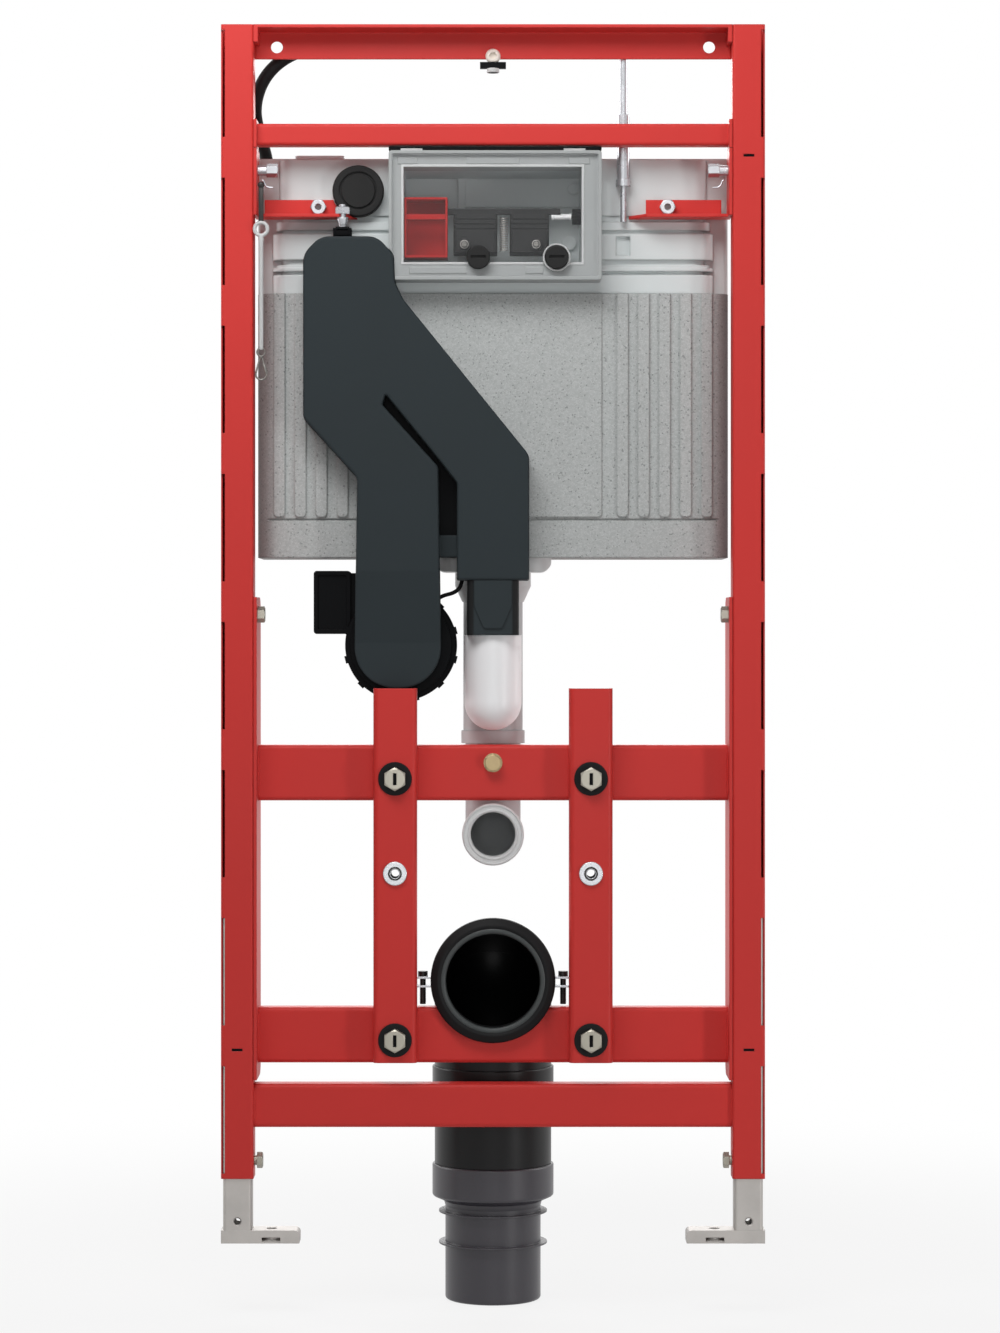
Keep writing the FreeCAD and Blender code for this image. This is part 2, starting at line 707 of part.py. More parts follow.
def leg(side):
    """Square leg that telescopes in the column and stands on its shoe."""
    middle = side * COLUMN_X
    half = COLUMN_WIDTH / 2 - LEG_GAP
    rect = (middle - half, LEG_GAP, middle + half, COLUMN_DEPTH - LEG_GAP)
    tube = hollow(rect, LEG_WALL, LEG_CORNER + LEG_WALL, "XY", SHOE_HEIGHT, COLUMN_FOOT + LEG_OVERLAP)
    hole = rod(LEG_HOLE_RADIUS, Vec(middle, 0, LEG_HOLE_HEIGHT), BACK, COLUMN_DEPTH)
    rim = Part.makeCone(LEG_HOLE_RIM, LEG_HOLE_RADIUS, LEG_HOLE_RIM - LEG_HOLE_RADIUS,
                        Vec(middle, LEG_GAP, LEG_HOLE_HEIGHT), BACK)
    return tube.cut([hole, rim])


def shoe(side):
    """Flat box foot with a rounded toe, a slot in its front and a hole for the floor bolt."""
    back = LEG_GAP + SHOE_DEPTH
    outer = side * HALF_WIDTH
    toe = side * (HALF_WIDTH - SHOE_LENGTH)
    body = prism([(outer, 0), (toe, 0), (toe, SHOE_HEIGHT), (outer, SHOE_HEIGHT)], "XZ", LEG_GAP, back,
                 [0, 0, SHOE_TOE, 0])
    near, far = sorted((outer - side * SHOE_WALL, toe + side * SHOE_WALL))
    cavity = slab(near, far, LEG_GAP + SHOE_WALL, back - SHOE_WALL, SHOE_WALL, SHOE_HEIGHT - SHOE_WALL)
    middle = outer - side * FLOOR_HOLE_INSET
    slot = slab(middle - SHOE_SLOT_LENGTH / 2, middle + SHOE_SLOT_LENGTH / 2, 0, LEG_GAP + SHOE_WALL,
                SHOE_SLOT_BOTTOM, SHOE_SLOT_BOTTOM + SHOE_SLOT_HEIGHT)
    hole = rod(FLOOR_HOLE_RADIUS, Vec(middle, COLUMN_DEPTH / 2, -1), UP, SHOE_HEIGHT + 2)
    return body.cut([cavity, slot, hole])


def leg_screw(side):
    """Hexagon screw on the column's inner side that clamps the leg."""
    base = Vec(side * INNER_X, COLUMN_DEPTH / 2, LEG_SCREW_HEIGHT)
    inward = Vec(-side, 0, 0)
    neck = rod(LEG_SCREW_NECK_RADIUS, base, inward, LEG_SCREW_NECK)
    head = hex_head(LEG_SCREW_FLATS, base + inward * LEG_SCREW_NECK, inward, LEG_SCREW_HEAD)
    shank = rod(LEG_SCREW_SHANK, base, Vec(side, 0, 0), COLUMN_WALL)
    return fuse([neck, head, shank])


def top_rail():
    """Angle across the top, with the wall holes in its web and a tab at each end."""
    web_front = COLUMN_DEPTH - TOP_WEB
    bottom = FRAME_HEIGHT - TOP_WEB_HEIGHT
    section = [(0, FRAME_HEIGHT - TOP_FLANGE), (web_front, FRAME_HEIGHT - TOP_FLANGE), (web_front, bottom),
               (COLUMN_DEPTH, bottom), (COLUMN_DEPTH, FRAME_HEIGHT), (0, FRAME_HEIGHT)]
    rail = prism(section, "YZ", -INNER_X, INNER_X, [0, TOP_BEND, 0, 0, TOP_BEND + TOP_WEB, 0])
    holes = [rod(WALL_HOLE_RADIUS, Vec(side * (INNER_X - WALL_HOLE_INSET), 0, FRAME_HEIGHT - WALL_HOLE_DROP),
                 BACK, COLUMN_DEPTH + 1) for side in (-1, 1)]
    tabs = [slab(*sorted((side * INNER_X, side * (INNER_X - TOP_TAB_WIDTH))), 0, web_front,
                 FRAME_HEIGHT - TOP_TAB_HEIGHT, FRAME_HEIGHT - TOP_FLANGE) for side in (-1, 1)]
    return fuse([rail] + tabs).cut(holes)


def upper_rail():
    """Square tube between the columns, with a plate at each end."""
    half = UPPER_RAIL_SIZE / 2
    rect = (UPPER_RAIL_FRONT, UPPER_RAIL_HEIGHT - half, UPPER_RAIL_FRONT + UPPER_RAIL_SIZE,
            UPPER_RAIL_HEIGHT + half)
    inner = INNER_X - END_PLATE
    tube = hollow(rect, UPPER_RAIL_WALL, UPPER_RAIL_CORNER, "YZ", -inner, inner)
    ends = [slab(*sorted((side * inner, side * INNER_X)), 0, COLUMN_DEPTH,
                 UPPER_RAIL_HEIGHT - END_PLATE_HALF, UPPER_RAIL_HEIGHT + END_PLATE_HALF) for side in (-1, 1)]
    return fuse([tube] + ends)


def mounting_rail(height):
    """Box rail that carries the mounting bars, between the side plates."""
    rect = (RAIL_FRONT, height - RAIL_HEIGHT / 2, RAIL_BACK, height + RAIL_HEIGHT / 2)
    return hollow(rect, RAIL_WALL, RAIL_CORNER, "YZ", -PLATE_X, PLATE_X)


def lower_mounting_rail():
    """The lower rail has a round notch, in which the drain lies in its strap."""
    notch = rod(STRAP_RADIUS, Vec(0, 0, DRAIN_HEIGHT), BACK, 2 * RAIL_BACK)
    return mounting_rail(LOWER_MOUNTING_HEIGHT).cut(notch)


def bottom_rail():
    half = BOTTOM_RAIL_HEIGHT / 2
    rect = (BOTTOM_RAIL_FRONT, BOTTOM_RAIL_MIDDLE - half, BOTTOM_RAIL_FRONT + BOTTOM_RAIL_DEPTH,
            BOTTOM_RAIL_MIDDLE + half)
    return hollow(rect, RAIL_WALL, RAIL_CORNER, "YZ", -INNER_X, INNER_X)


def side_plate(side):
    """Plate on the column's inner side, to which the mounting rails are welded."""
    points = rectangle(0, SIDE_PLATE_BOTTOM, SIDE_PLATE_DEPTH, SIDE_PLATE_TOP)
    near, far = sorted((side * PLATE_X, side * INNER_X))
    return prism(points, "YZ", near, far, [0, SIDE_PLATE_CORNER, SIDE_PLATE_CORNER, 0])


def plate_bolt(side):
    base = Vec(side * PLATE_X, PLATE_BOLT_DEPTH, PLATE_BOLT_HEIGHT)
    return hex_head(PLATE_BOLT_FLATS, base, Vec(-side, 0, 0), PLATE_BOLT_HEAD)


def mounting_bar(side):
    """U profile, open to the back, with holes for its bolts and the stud sleeve."""
    middle = side * BAR_X
    half = BAR_WIDTH / 2
    section = [(middle - half, -BAR_PROUD), (middle + half, -BAR_PROUD), (middle + half, RAIL_FRONT),
               (middle - half, RAIL_FRONT)]
    inner = rectangle(middle - half + BAR_WALL, BAR_WALL - BAR_PROUD, middle + half - BAR_WALL, RAIL_FRONT + 1)
    bar = prism(section, "XY", BAR_BOTTOM, BAR_TOP, [BAR_CORNER, BAR_CORNER, 0, 0])
    bar = bar.cut(prism(inner, "XY", BAR_BOTTOM, BAR_TOP, [2.0, 2.0, 0, 0]))
    holes = [rod(BAR_BOLT_RADIUS + BOLT_CLEARANCE, Vec(middle, -BAR_DRILL, height), BACK, 2 * BAR_DRILL)
             for height in BAR_BOLT_HEIGHTS]
    holes.append(rod(STUD_SLEEVE_RADIUS, Vec(middle, -BAR_DRILL, STUD_HEIGHT), BACK, 2 * BAR_DRILL))
    return bar.cut(holes)


def bar_washer(side, height):
    ring = [(BAR_BOLT_RADIUS + BOLT_CLEARANCE, 0), (BAR_WASHER_RADIUS, 0), (BAR_WASHER_RADIUS, BAR_WASHER),
            (BAR_BOLT_RADIUS + BOLT_CLEARANCE, BAR_WASHER)]
    return turned(ring, Vec(side * BAR_X, -BAR_PROUD, height), FRONT, [0, 0, WASHER_EDGE, 0])


def bar_bolt(side, height):
    """Hexagon bolt with a slotted head, screwed to the rail behind the bar."""
    seat = -BAR_PROUD - BAR_WASHER
    middle = side * BAR_X
    base = Vec(middle, seat, height)
    head = hex_head(BAR_BOLT_FLATS, base, FRONT, BAR_BOLT_HEAD, HEX_TURN)
    shank = rod(BAR_BOLT_RADIUS, base, BACK, RAIL_FRONT - seat)
    slot = slab(middle - BAR_BOLT_SLOT_WIDTH / 2, middle + BAR_BOLT_SLOT_WIDTH / 2, seat - BAR_BOLT_HEAD - 1,
                seat - BAR_BOLT_HEAD + BAR_BOLT_SLOT_DEPTH, height - BAR_BOLT_SLOT_LENGTH / 2,
                height + BAR_BOLT_SLOT_LENGTH / 2)
    return head.fuse(shank).cut(slot)


def stud_sleeve(side):
    """Threaded sleeve in the bar that takes a stud of the bowl."""
    profile = [(STUD_BORE_RADIUS, -RAIL_FRONT), (STUD_SLEEVE_RADIUS, -RAIL_FRONT), (STUD_SLEEVE_RADIUS, 0),
               (STUD_FLANGE_RADIUS, 0), (STUD_FLANGE_RADIUS, STUD_FLANGE), (STUD_BORE_RADIUS, STUD_FLANGE)]
    return turned(profile, Vec(side * BAR_X, -BAR_PROUD, STUD_HEIGHT), FRONT, [0, 0, 0, 0, WASHER_EDGE, 0])


# Cistern
def hatch_window(front, back):
    return slab(WINDOW_LEFT, WINDOW_RIGHT, front, back, WINDOW_BOTTOM, WINDOW_TOP)


def layer(half_width, front, back, bottom, top, corner):
    """Level slice of the cistern, rounded at its front corners."""
    points = rectangle(-half_width, front, half_width, back)
    return prism(points, "XY", bottom, top, [corner, corner, TANK_BACK_CORNER, TANK_BACK_CORNER])


def tank_band(bottom, top, reach):
    """One of the layers that step in and out on the tank's front."""
    half = TANK_FACE_HALF + reach * (TANK_BAND_HALF - TANK_FACE_HALF)
    front = TANK_FRONT - reach * TANK_BAND_PROUD
    return layer(half, front, TANK_BACK, TANK_BASE + bottom, TANK_BASE + top, TANK_CORNER)


def pocket_rib_and_panel():
    """Rib, raised panel and bosses on the back wall of the inspection pocket."""
    rib = slab(POCKET_RIB_LEFT, POCKET_RIB_RIGHT, POCKET_BACK - POCKET_RIB, POCKET_BACK, WINDOW_BOTTOM, WINDOW_TOP)
    panel = slab(POCKET_RIB_RIGHT, WINDOW_RIGHT, POCKET_BACK - POCKET_PANEL, POCKET_BACK,
                 TANK_BASE + POCKET_PANEL_RISE, WINDOW_TOP)
    bosses = [rod(radius, Vec(x, POCKET_BACK - POCKET_RIB, TANK_BASE + rise), BACK, POCKET_RIB)
              for x, rise, radius in POCKET_BOSSES]
    return [rib, panel] + bosses


def cistern_tank():
    """Upper tank: a wide rear body, a narrower stepped front, the pocket of the
    inspection hatch, a grip on top and a niche for the inlet."""
    core = layer(TANK_FACE_HALF - TANK_BAND_PROUD, TANK_FRONT + TANK_BAND_PROUD, TANK_BACK, TANK_BASE,
                 TANK_TOP - TANK_BAND_PROUD, TANK_CORNER)
    rear = layer(TANK_HALF, TANK_STEP, TANK_BACK, TANK_BASE, TANK_TOP, TANK_BACK_CORNER)
    grip = prism(rectangle(TANK_GRIP_LEFT, TANK_FRONT + TANK_BACK_CORNER, TANK_GRIP_RIGHT, TANK_GRIP_BACK), "XY",
                 TANK_TOP - TANK_BAND_PROUD, TANK_TOP + TANK_GRIP_RISE, TANK_BACK_CORNER)
    bands = [tank_band(*values) for values in TANK_LAYERS]
    shell = fuse([core, rear, grip] + bands)
    tie_pocket = slab(TIE_X - TIE_POCKET_HALF, TIE_X + TIE_POCKET_HALF, 0, TANK_FRONT + TIE_POCKET_DEPTH,
                      TANK_BASE + TIE_POCKET_BOTTOM, TANK_BASE + TIE_POCKET_TOP)
    niche = slab(-HALF_WIDTH, -TANK_FACE_HALF, ELBOW_DEPTH - NICHE_HALF, ELBOW_DEPTH + NICHE_HALF,
                 TANK_BASE + NICHE_RISE, FRAME_HEIGHT)
    shell = shell.cut([hatch_window(0, POCKET_BACK), tie_pocket, niche])
    return fuse([shell] + pocket_rib_and_panel())


def cistern_jacket():
    """Insulated lower part, with a raised middle panel and upright ribs beside it."""
    parts = [layer(TANK_HALF, JACKET_FRONT, TANK_BACK, JACKET_BOTTOM, TANK_BASE, JACKET_CORNER)]
    corners = [RIB_CORNER, RIB_CORNER, 0, 0]
    panel = rectangle(-PANEL_HALF, RIB_BOTTOM, PANEL_HALF, TANK_BASE)
    parts.append(prism(panel, "XZ", JACKET_FRONT - PANEL_RAISE, JACKET_FRONT + 1, corners))
    for side in (-1, 1):
        for index in range(RIB_COUNT):
            middle = side * (TANK_HALF - RIB_INSET - RIB_WIDTH / 2 - index * RIB_PITCH)
            rib = rectangle(middle - RIB_WIDTH / 2, RIB_BOTTOM, middle + RIB_WIDTH / 2, TANK_BASE)
            parts.append(prism(rib, "XZ", JACKET_FRONT - RIB_RAISE, JACKET_FRONT + 1, corners))
    groove = slab(-HALF_WIDTH, HALF_WIDTH, 0, JACKET_FRONT + JACKET_GROOVE,
                  JACKET_BOTTOM + JACKET_GROOVE_RISE - JACKET_GROOVE, JACKET_BOTTOM + JACKET_GROOVE_RISE)
    return fuse(parts).cut(groove)


def outlet_nut():
    """Rounded outlet flange under the cistern with the coned union nut of the flush pipe."""
    block = prism([(-FLANGE_HALF, JACKET_BOTTOM), (-FLANGE_HALF, FLANGE_BOTTOM), (FLANGE_HALF, FLANGE_BOTTOM),
                   (FLANGE_HALF, JACKET_BOTTOM)], "XZ", FLANGE_FRONT, FLANGE_BACK, [0, FLANGE_EDGE, FLANGE_EDGE, 0])
    plan = prism(rectangle(-FLANGE_HALF, FLANGE_FRONT, FLANGE_HALF, FLANGE_BACK), "XY", FLANGE_BOTTOM,
                 JACKET_BOTTOM, FLANGE_CORNER)
    top = NUT_CONE_HEIGHT + NUT_NECK_HEIGHT
    profile = [(0, 0), (NUT_CONE_RADIUS, 0), (NUT_NECK_RADIUS, NUT_CONE_HEIGHT), (NUT_NECK_RADIUS, top), (0, top)]
    nut = fuse([block.common(plan), turned(profile, Vec(0, FLUSH_AXIS, NUT_BOTTOM))])
    return nut.cut(rod(FLUSH_RADIUS, Vec(0, FLUSH_AXIS, FLUSH_HEIGHT), UP, FRAME_HEIGHT))


def flush_pipe():
    """Flush pipe from the nut down through its flare to the socket for the bowl."""
    path = bend_path(FLUSH_FRONT, FLUSH_AXIS, FLUSH_HEIGHT, JACKET_BOTTOM, FLUSH_BEND)
    start = Vec(0, FLUSH_FRONT, FLUSH_HEIGHT)
    axis = Vec(0, FLUSH_AXIS, FLUSH_FLARE_BOTTOM)
    flare = FLUSH_FLARE_TOP - FLUSH_FLARE_BOTTOM
    elbow = swept(path, start, BACK, FLUSH_ELBOW_RADIUS)
    upper = rod(FLUSH_RADIUS, axis, UP, JACKET_BOTTOM - FLUSH_FLARE_BOTTOM)
    collar = rod(FLUSH_FLARE_RADIUS, axis, UP, flare)
    bore = swept(path, start, BACK, FLUSH_ELBOW_RADIUS - FLUSH_WALL)
    wide_bore = rod(FLUSH_RADIUS - FLUSH_WALL, axis + UP * flare, UP, JACKET_BOTTOM)
    return fuse([elbow, upper, collar]).cut([bore, wide_bore])


def flush_seal():
    """Rubber lip ring in the flush socket."""
    profile = [(FLUSH_MOUTH_RADIUS, 0), (FLUSH_LIP_RADIUS, 0), (FLUSH_LIP_RADIUS, FLUSH_LIP),
               (FLUSH_MOUTH_RADIUS, FLUSH_LIP)]
    rounding = 0.4 * FLUSH_LIP
    lip = turned(profile, Vec(0, FLUSH_FRONT, FLUSH_HEIGHT), FRONT, [0, 0, rounding, rounding])
    bore = FLUSH_ELBOW_RADIUS - FLUSH_WALL
    sleeve = [(FLUSH_MOUTH_RADIUS, -FLUSH_MOUTH_LENGTH), (bore, -FLUSH_MOUTH_LENGTH), (bore, 0),
              (FLUSH_MOUTH_RADIUS, 0)]
    return fuse([lip, turned(sleeve, Vec(0, FLUSH_FRONT, FLUSH_HEIGHT), FRONT)])


# Inspection hatch
def cover_outline(gap):
    """The rebate in which the cover lies, less a gap all round."""
    inset = HATCH_RIM + gap
    return rectangle(HATCH_LEFT + inset, HATCH_BOTTOM + inset, HATCH_RIGHT - inset, HATCH_TOP - inset)


def cover_pad(left, right, middle):
    """Low pad in the rebate, on which the cover rests."""
    return slab(left, right, COVER_BACK + PAD_GAP, COVER_BACK + 2 * PAD_RAISE, middle - PAD_HEIGHT / 2,
                middle + PAD_HEIGHT / 2)


def inspection_frame():
    """Shaft frame round the opening: a rim, a rebate with pads for the cover, and the
    inner window. It is cut back where the duct and the tank's bands pass it."""
    points = rectangle(HATCH_LEFT, HATCH_BOTTOM, HATCH_RIGHT, HATCH_TOP)
    body = prism(points, "XZ", HATCH_FRONT, TANK_FRONT, HATCH_CORNER)
    rebate = prism(cover_outline(0.0), "XZ", 0, COVER_BACK + PAD_RAISE, HATCH_CORNER / 2)
    body = body.cut([rebate, hatch_window(0, TANK_FRONT)])
    pads = [cover_pad(left, right, HATCH_TOP - HATCH_RIM - PAD_INSET) for left, right in TOP_PADS]
    pads += [cover_pad(left, right, HATCH_BOTTOM + HATCH_RIM + PAD_INSET) for left, right in BOTTOM_PADS]
    bands = [tank_band(*values) for values in TANK_LAYERS if values[2] > 0]
    stems = [rod(KNOB_STEM_RADIUS + COVER_CLEARANCE, Vec(x, 0, KNOB_HEIGHT), BACK, TANK_FRONT) for x in KNOB_PLACES]
    duct_room = duct_envelope(DUCT_GAP, 0, TANK_FRONT)
    return fuse([body] + pads).cut(bands + stems + [duct_room])


def hatch_seal():
    """Dark strip on top of the hatch frame, under the upper rail."""
    return prism(rectangle(HATCH_LEFT, HATCH_TOP, HATCH_RIGHT, HATCH_TOP + SEAL_HEIGHT), "XZ", SEAL_FRONT, SEAL_BACK,
                 SEAL_HEIGHT / 3)


def splash_cover():
    """Clear cover with a hole for each knob's stem, cut back where the duct passes it."""
    front = HATCH_FRONT + COVER_INSET
    sheet = prism(cover_outline(COVER_CLEARANCE), "XZ", front, COVER_BACK, HATCH_CORNER / 2)
    holes = [rod(KNOB_STEM_RADIUS + COVER_CLEARANCE, Vec(x, 0, KNOB_HEIGHT), BACK, TANK_FRONT) for x in KNOB_PLACES]
    return sheet.cut(holes + [duct_envelope(DUCT_GAP, 0, TANK_FRONT)])


def cover_knob(x):
    """Slotted quarter-turn knob in front of the cover, with its stem through it."""
    front = HATCH_FRONT + COVER_INSET
    base = Vec(x, front, KNOB_HEIGHT)
    head = turned([(0, 0), (KNOB_RADIUS, 0), (KNOB_RADIUS, KNOB_HEAD), (0, KNOB_HEAD)], base, FRONT,
                  [0, 0, KNOB_EDGE, 0])
    stem = rod(KNOB_STEM_RADIUS, base, BACK, COVER_THICK + KNOB_STEM)
    face = front - KNOB_HEAD
    slot = slab(x - KNOB_SLOT_LENGTH / 2, x + KNOB_SLOT_LENGTH / 2, face - 1, face + KNOB_SLOT_DEPTH,
                KNOB_HEIGHT - KNOB_SLOT_WIDTH / 2, KNOB_HEIGHT + KNOB_SLOT_WIDTH / 2)
    return head.fuse(stem).cut(slot)


def flush_tray():
    """Open tray behind the cover, on a back plate that meets the hatch's side wall."""
    left = WINDOW_LEFT + TRAY_GAP
    bottom = TANK_BASE + TRAY_RISE
    top = bottom + TRAY_HEIGHT
    back = TRAY_FRONT + TRAY_DEPTH
    body = slab(left, TRAY_RIGHT, TRAY_FRONT, back, bottom, top)
    well = slab(left + TRAY_WALL, TRAY_RIGHT - TRAY_WALL, 0, back - TRAY_WALL, bottom + TRAY_WALL, top - TRAY_WALL)
    plate = slab(WINDOW_LEFT, left + TRAY_WALL, back - TRAY_WALL, back, bottom, top)
    bar_bottom = TANK_BASE + TRAY_BAR_RISE
    bar = slab(left, TRAY_RIGHT, TRAY_FRONT + 1, TRAY_FRONT + 1 + TRAY_BAR_DEPTH, bar_bottom,
               bar_bottom + TRAY_BAR_HEIGHT)
    return fuse([body.cut(well), plate, bar])


def lever_bar():
    """Level bar from the tray over both lifter blocks."""
    return slab(TRAY_RIGHT, LEVER_RIGHT, LEVER_DEPTH, LEVER_DEPTH + LEVER_THICK, LEVER_BOTTOM,
                LEVER_BOTTOM + LEVER_HEIGHT)


def adjusting_wheel():
    """Ribbed thumb wheel between the lever's end and the pocket's side wall, with its axle."""
    right = WINDOW_RIGHT - WHEEL_GAP
    height = LEVER_BOTTOM - WHEEL_AXLE_RADIUS
    depth = LEVER_DEPTH + LEVER_THICK / 2
    toward = Vec(1, 0, 0)
    start = Vec(right - WHEEL_WIDTH, depth, height)
    wheel = [rod(WHEEL_RADIUS - WHEEL_RIB_RADIUS, start, toward, WHEEL_WIDTH)]
    for index in range(WHEEL_RIBS):
        angle = 2 * pi * index / WHEEL_RIBS
        spoke = Vec(0, cos(angle), sin(angle)) * (WHEEL_RADIUS - WHEEL_RIB_RADIUS)
        wheel.append(rod(WHEEL_RIB_RADIUS, start + spoke, toward, WHEEL_WIDTH))
    axle = rod(WHEEL_AXLE_RADIUS, Vec(WINDOW_RIGHT - WHEEL_AXLE, depth, height), toward, WHEEL_AXLE)
    return fuse(wheel + [axle])


def valve_block(left, right, boss_x):
    """Ribbed lifter block that hangs under the lever bar, with a round boss on its front."""
    bottom = TANK_BASE + VALVE_RISE
    body = prism(rectangle(left, VALVE_FRONT, right, VALVE_BACK), "XY", bottom, LEVER_BOTTOM, VALVE_CORNER)
    grooves = []
    pitch = (LEVER_BOTTOM - bottom) / (2 * VALVE_RIBS + 2)
    for index in range(VALVE_RIBS):
        low = LEVER_BOTTOM - (index + 1) * pitch
        grooves.append(slab(left - 1, right + 1, VALVE_FRONT - 1, VALVE_FRONT + VALVE_RIB, low - VALVE_RIB, low))
    boss = rod(VALVE_BOSS_RADIUS, Vec(boss_x, VALVE_FRONT - VALVE_BOSS, TANK_BASE + VALVE_BOSS_RISE), BACK,
               2 * VALVE_BOSS)
    axle_start = Vec(WINDOW_RIGHT - WHEEL_AXLE - 1, LEVER_DEPTH + LEVER_THICK / 2, LEVER_BOTTOM - WHEEL_AXLE_RADIUS)
    axle_room = rod(WHEEL_AXLE_RADIUS + COVER_CLEARANCE, axle_start, Vec(1, 0, 0), WHEEL_AXLE)
    return body.cut(grooves).fuse(boss).cut(axle_room)


def blanking_plug():
    """Screwed plug with a round groove in its face."""
    base = Vec(PLUG_X, TANK_FRONT, PLUG_HEIGHT)
    outer = PLUG_DISC_RADIUS + PLUG_GROOVE
    profile = [(0, 0), (PLUG_RADIUS, 0), (PLUG_RADIUS, PLUG_THICK), (outer, PLUG_THICK),
               (outer, PLUG_THICK - PLUG_GROOVE), (PLUG_DISC_RADIUS, PLUG_THICK - PLUG_GROOVE),
               (PLUG_DISC_RADIUS, PLUG_THICK), (0, PLUG_THICK)]
    edge = 0.75 * PLUG_GROOVE
    return turned(profile, base, FRONT, [0, 0, edge, 0, 0, 0, edge / 2, 0])


# Cistern brackets
def bracket(side):
    """Bent bracket: a side plate on the column and an arm across the tank's front, joined
    by a level lip. The left one has a notch for the stud that hangs the duct."""
    arm_front = TANK_FRONT - BRACKET_PLATE
    inner = side * BRACKET_INNER
    tip = side * BRACKET_TIP
    outer = side * INNER_X
    plate = slab(*sorted((outer, outer - side * BRACKET_PLATE)), 0, TANK_FRONT, BRACKET_BOTTOM, BRACKET_SIDE_TOP)
    near, far = sorted((inner, outer - side * BRACKET_ARM_INSET))
    arm = slab(near, far, arm_front, TANK_FRONT, BRACKET_BOTTOM, BRACKET_BOTTOM + BRACKET_ARM)
    lip_front = TANK_FRONT - BRACKET_LIP
    lip = [(tip, TANK_FRONT), (inner, lip_front), (outer, lip_front), (outer, TANK_FRONT)]
    lip = prism(lip, "XY", BRACKET_BOTTOM, BRACKET_BOTTOM + BRACKET_PLATE)
    bolt_start = Vec(outer - side * BRACKET_ARM_INSET, SIDE_BOLT_DEPTH, SIDE_BOLT_HEIGHT)
    cuts = [rod(SIDE_BOLT_SHANK + BOLT_CLEARANCE, bolt_start, Vec(side, 0, 0), 2 * BRACKET_ARM_INSET),
            rod(BRACKET_NUT_HOLE, Vec(side * BRACKET_NUT_X, 0, BRACKET_NUT_HEIGHT), BACK, TANK_FRONT),
            rod(PLUG_RADIUS + BRACKET_PLUG_GAP, Vec(PLUG_X, 0, PLUG_HEIGHT), BACK, TANK_FRONT)]
    if side < 0:
        cuts.append(rod(HANGER_NECK_RADIUS, Vec(HANGER_X, HANGER_DEPTH, TANK_BASE), UP, TANK_HEIGHT))
    return fuse([plate, arm, lip]).cut(cuts)


def bracket_nut(side):
    base = Vec(side * BRACKET_NUT_X, TANK_FRONT - BRACKET_PLATE, BRACKET_NUT_HEIGHT)
    nut = hex_head(BRACKET_NUT_FLATS, base, FRONT, BRACKET_NUT)
    return nut.cut(rod(BRACKET_NUT_HOLE, base, FRONT, BRACKET_NUT))


def side_bolt(side):
    """Bolt that holds a bracket's side plate to the column."""
    base = Vec(side * (INNER_X - BRACKET_PLATE), SIDE_BOLT_DEPTH, SIDE_BOLT_HEIGHT)
    inward = Vec(-side, 0, 0)
    barrel = rod(SIDE_BOLT_RADIUS, base, inward, SIDE_BOLT_BARREL)
    head = hex_head(SIDE_BOLT_FLATS, base + inward * SIDE_BOLT_BARREL, inward, SIDE_BOLT_HEAD)
    shank = rod(SIDE_BOLT_SHANK, base, Vec(side, 0, 0), BRACKET_PLATE)
    return fuse([barrel, head, shank])


# Extraction duct and fan
def beside_jacket(share):
    """Height at a share of the way up the jacket."""
    return JACKET_BOTTOM + share * (TANK_BASE - JACKET_BOTTOM)


def duct_outline():
    """The duct from the front: (x, height, corner radius), from its top left corner."""
    half = (CONNECTOR_WIDTH + 3 * CONNECTOR_LAP) / 2
    leg = DUCT_DISC_RADIUS - DUCT_ROUND
    bottom = FAN_HEIGHT - DUCT_DISC_RADIUS
    shoulder = FAN_HEIGHT + DUCT_ROUND
    head = [(x, DUCT_TOP - drop, radius) for x, drop, radius in DUCT_HEAD]
    right = [(half, beside_jacket(DUCT_RIGHT_SHOULDER[0]), DUCT_RIGHT_SHOULDER[1]),
             (half, CONNECTOR_TOP, DUCT_END_CORNER), (-half, CONNECTOR_TOP, DUCT_END_CORNER),
             (-half, beside_jacket(DUCT_FORK_SHOULDER[0]), DUCT_FORK_SHOULDER[1])]
    fork = [(x, beside_jacket(share), radius) for x, share, radius in DUCT_FORK]
    disc = [(DUCT_LEG_RIGHT, shoulder, DUCT_ROUND), (DUCT_LEG_RIGHT, bottom, leg), (DUCT_LEG_LEFT, bottom, leg),
            (DUCT_LEG_LEFT, shoulder, DUCT_ROUND)]
    left = [(DUCT_WAIST[0], beside_jacket(DUCT_WAIST[1]), DUCT_WAIST[2]),
            (DUCT_LEFT, beside_jacket(DUCT_HIP[0]), DUCT_HIP[1]),
            (DUCT_LEFT, DUCT_TOP - DUCT_LEFT_SHOULDER[0], DUCT_LEFT_SHOULDER[1])]
    return head + right + fork + disc + left


def duct_envelope(gap, front, back):
    """The duct's outline, grown by a gap, between two depths."""
    corners = duct_outline()
    face = Part.Face(outline([(x, z) for x, z, _ in corners], [radius for _, _, radius in corners], "XZ", front))
    if gap > 0:
        face = Part.Face(face.OuterWire.makeOffset2D(gap))
    return face.extrude(Vec(0, back - front, 0))


